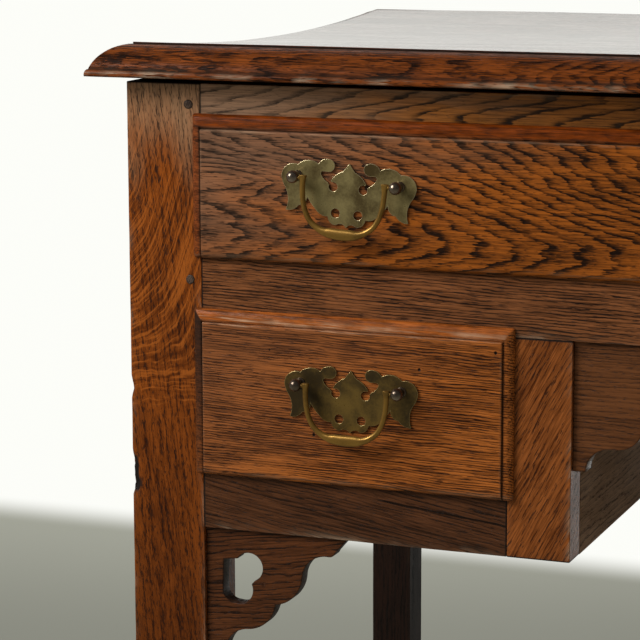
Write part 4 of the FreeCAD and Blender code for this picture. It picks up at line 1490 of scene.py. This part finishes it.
@dataclass
class Studio:
    """Pale floor, soft light and the camera."""

    floor_colour: Colour = shade(198, 199, 184)
    far_colour: Colour = (0.98, 0.985, 0.94)
    reach: float = 30.0
    mat_half_width: float = 2.3
    mat_edge: float = 1.157
    fill: float = 0.4
    glow: float = 0.1            # what glosses see in front
    key_power: float = 7.5
    key_size: float = 0.7
    key_spread: float = 110.0
    key_azimuth: float = -50.0
    key_elevation: float = 32.0
    key_distance: float = 1.4
    key_target: Point = (-0.2, -0.2, 0.6)
    lens: float = 144.54
    azimuth: float = 21.46
    elevation: float = 10.28
    roll: float = -0.184
    camera_place: Point = (0.3113, -1.6773, 0.8247)

    def floor(self) -> None:
        """Makes the floor: pale grey with painted light that brightens it far off, and white beyond
        a soft line.
        """
        points = np.array([[-1, -1, 0], [1, -1, 0], [1, 1, 0], [-1, 1, 0]]) * self.reach
        piece = make_piece("studio_floor", points, np.array([[0, 1, 2, 3]]))
        material, graph = new_material("studio_floor")
        x, y, _ = graph.parts(graph.value("TexCoord", output="Object"))
        camera, through, glossy = graph.rays("Camera", "Transmission", "Glossy")
        line = graph.edge(graph.size(y), self.mat_edge, 0.06)
        aside = graph.edge(graph.size(x), self.mat_half_width, 0.2)
        white = graph.clamp(line + aside) * graph.clamp(camera + through)
        factor = graph.clamp(white + glossy * graph.step(y, 0.9, 1.2))
        # Painted light: the grey is darker in front and near the lowboy, brighter towards the back
        # and the left.
        painted_light_tint = graph.mix(graph.step(y - x * 0.35, 0.9, 1.7), scaled(self.floor_colour, 0.85),
                         scaled(self.floor_colour, 1.5))
        plain = graph.value("BsdfDiffuse", {"Color": painted_light_tint})
        bright = graph.value("Emission", {"Color": self.far_colour})
        shader = graph.value("MixShader", {0: factor, 1: plain, 2: bright})
        graph.node("OutputMaterial", {"Surface": shader})
        piece.data.materials.append(material)

    def world(self) -> None:
        """White surroundings to look at, and a plain dimmer fill for the light."""
        world = bpy.data.worlds.new("studio")
        bpy.context.scene.world = world
        world.use_nodes = True
        graph = Graph(world.node_tree)
        camera, glossy = graph.rays("Camera", "Glossy")
        behind = graph.parts(graph.value("TexCoord", output="Generated"))[1]
        dim = graph.mix(glossy, (self.fill,) * 3, (self.glow,) * 3)
        bright = graph.clamp(camera + glossy * graph.step(behind, 0.4, 0.9))
        colour = graph.mix(bright, dim, self.far_colour)
        shader = graph.value("Background", {"Color": colour})
        graph.node("OutputWorld", {"Surface": shader})

    def key(self) -> None:
        """Adds a square soft light that looks at the upper left of the front."""
        light = bpy.data.lights.new("key", "AREA")
        light.energy = self.key_power
        light.shape = "SQUARE"
        light.size = self.key_size
        light.spread = math.radians(self.key_spread)
        holder = placed("key", light)
        turn, rise = math.radians(self.key_azimuth), math.radians(self.key_elevation)
        outward = Vector((math.sin(turn) * math.cos(rise), -math.cos(turn) * math.cos(rise),
                          math.sin(rise)))
        holder.location = Vector(self.key_target) + outward * self.key_distance
        holder.rotation_euler = (-outward).to_track_quat("-Z", "Y").to_euler()

    def camera(self) -> None:
        """Makes the camera from its place and its three angles."""
        data = bpy.data.cameras.new("view")
        data.lens = self.lens
        data.sensor_width = 36.0
        data.clip_start = 0.05
        holder = placed("view", data)
        turn = (Matrix.Rotation(math.radians(self.azimuth), 4, "Z")
                @ Matrix.Rotation(math.radians(90.0 - self.elevation), 4, "X")
                @ Matrix.Rotation(math.radians(self.roll), 4, "Z"))
        holder.matrix_world = Matrix.Translation(self.camera_place) @ turn
        bpy.context.scene.camera = holder

    def build(self) -> None:
        """Sets the whole studio up."""
        self.camera()
        self.floor()
        self.world()
        self.key()
        bpy.context.scene.view_settings.view_transform = "Standard"


def drawers() -> list[Drawer]:
    """The three drawers with the oak of their fronts."""
    plane = corners_of("front_top_rail")[0][1]
    long_front = Oak(
        name="oak_long_drawer_front", ring=7.5, arch=0.28, blunt=3.0, wander=7.0, echo=2.0,
        lumps=((-35.0, 32.5, 58.0, 12.0, -3.5), (240.0, 40.0, 110.0, 40.0, 4.0),
               (420.0, -30.0, 90.0, 40.0, -5.0)),
        band=0.55, bands=0.65, streaks=0.9, dash=7.0, pore_width=0.6, open=0.6, ragged=0.8,
        origin=(-0.275, plane, 0.596), light=(166, 90, 30), dark=(44, 24, 11),
        pore=(20, 12, 7), bloom=(130, 99, 78), bloom_low=680.0,
        bloom_high=820.0, bloom_lean=0.5, bloom_share=0.8, buff=(136, 62, 14),
        roughness=0.32, specular=0.06)
    short = Oak(
        name="oak_left_drawer_front", ring=1.6, origin=(-0.24, plane, 0.30), wander=6.0,
        tilt=-1.5, light=(178, 101, 43), dark=(50, 22, 7), pore=(30, 14, 6),
        streaks=1.0, worm=0.45, dash=9.0, pore_width=0.6, bands=0.75, open=0.6, specular=0.1,
        bloom=(122, 79, 54), bloom_low=650.0, bloom_high=860.0, bloom_lean=1.0,
        bloom_share=0.6)
    other = replace(short, name="oak_right_drawer_front", origin=(0.5, plane, 0.31), tilt=1.0)
    return [Drawer("long", 500, long_front, 9.4 * MM, left_side_shade=0.12),
            Drawer("left", 520, short, 8.6 * MM, upper_light_and_wear=0.9),
            Drawer("right", 540, other, 8.6 * MM, upper_light_and_wear=0.9)]


def handles() -> list[Handle]:
    """The four pulls with their metals."""
    upper = Metal("upper_plate_brass", (152, 136, 88), (74, 58, 24),
                  (206, 190, 146), 0.48, 0.3, 0.55).material()
    lower = Metal("lower_plate_brass", (124, 97, 44), (58, 44, 17),
                  (180, 154, 98), 0.5, 0.3, 0.55).material()
    rubbed = Metal("bail_brass", (150, 112, 48), (94, 68, 24), (170, 136, 78),
                   0.4, 0.33, 0.7).material()
    toned = Metal("post_bronze", (142, 127, 111), (82, 68, 56), (110, 92, 76), 0.45,
                  0.19, 0.9).material()
    iron = Metal("nut_iron", (80, 72, 66), (60, 44, 34), (90, 80, 70), 0.5, 0.6,
                 0.8).material()
    places = (("upper_left", "long", upper), ("upper_right", "long", upper),
              ("lower_left", "left", lower), ("lower_right", "right", lower))
    return [Handle(name, drawer, brass, rubbed, toned, iron) for name, drawer, brass in places]


def main() -> None:
    """Builds the studio and then the lowboy, piece by piece."""
    logging.basicConfig(level=logging.INFO, format="%(name)s %(message)s")
    Studio().build()
    top = TopBoard()
    oak = Oak(
        name="oak_top_board", ring=1.5, spread=0.6, arch=0.02, blunt=9.0, wander=12.0,
        across=Axis.Y, origin=(0.1, -0.06, 0.69), light=(122, 62, 24), bands=0.5,
        clouds=0.7, lumps=((-60.0, -185.0, 120.0, 70.0, 12.0),), ragged=0.5, band=0.7,
        dark=(36, 16, 6), pore=(16, 8, 4), streaks=1.1, dash=6.0, pore_width=0.6,
        stroke=16.0, open=0.585, specular=0.05, paleness=0.62)
    dress(top.build(), oak.material(), "carcass", "top_board")
    Carcass(top.cup).build()
    for drawer in drawers():
        drawer.build()
    for handle in handles():
        handle.build()


if __name__ == "__main__":
    main()
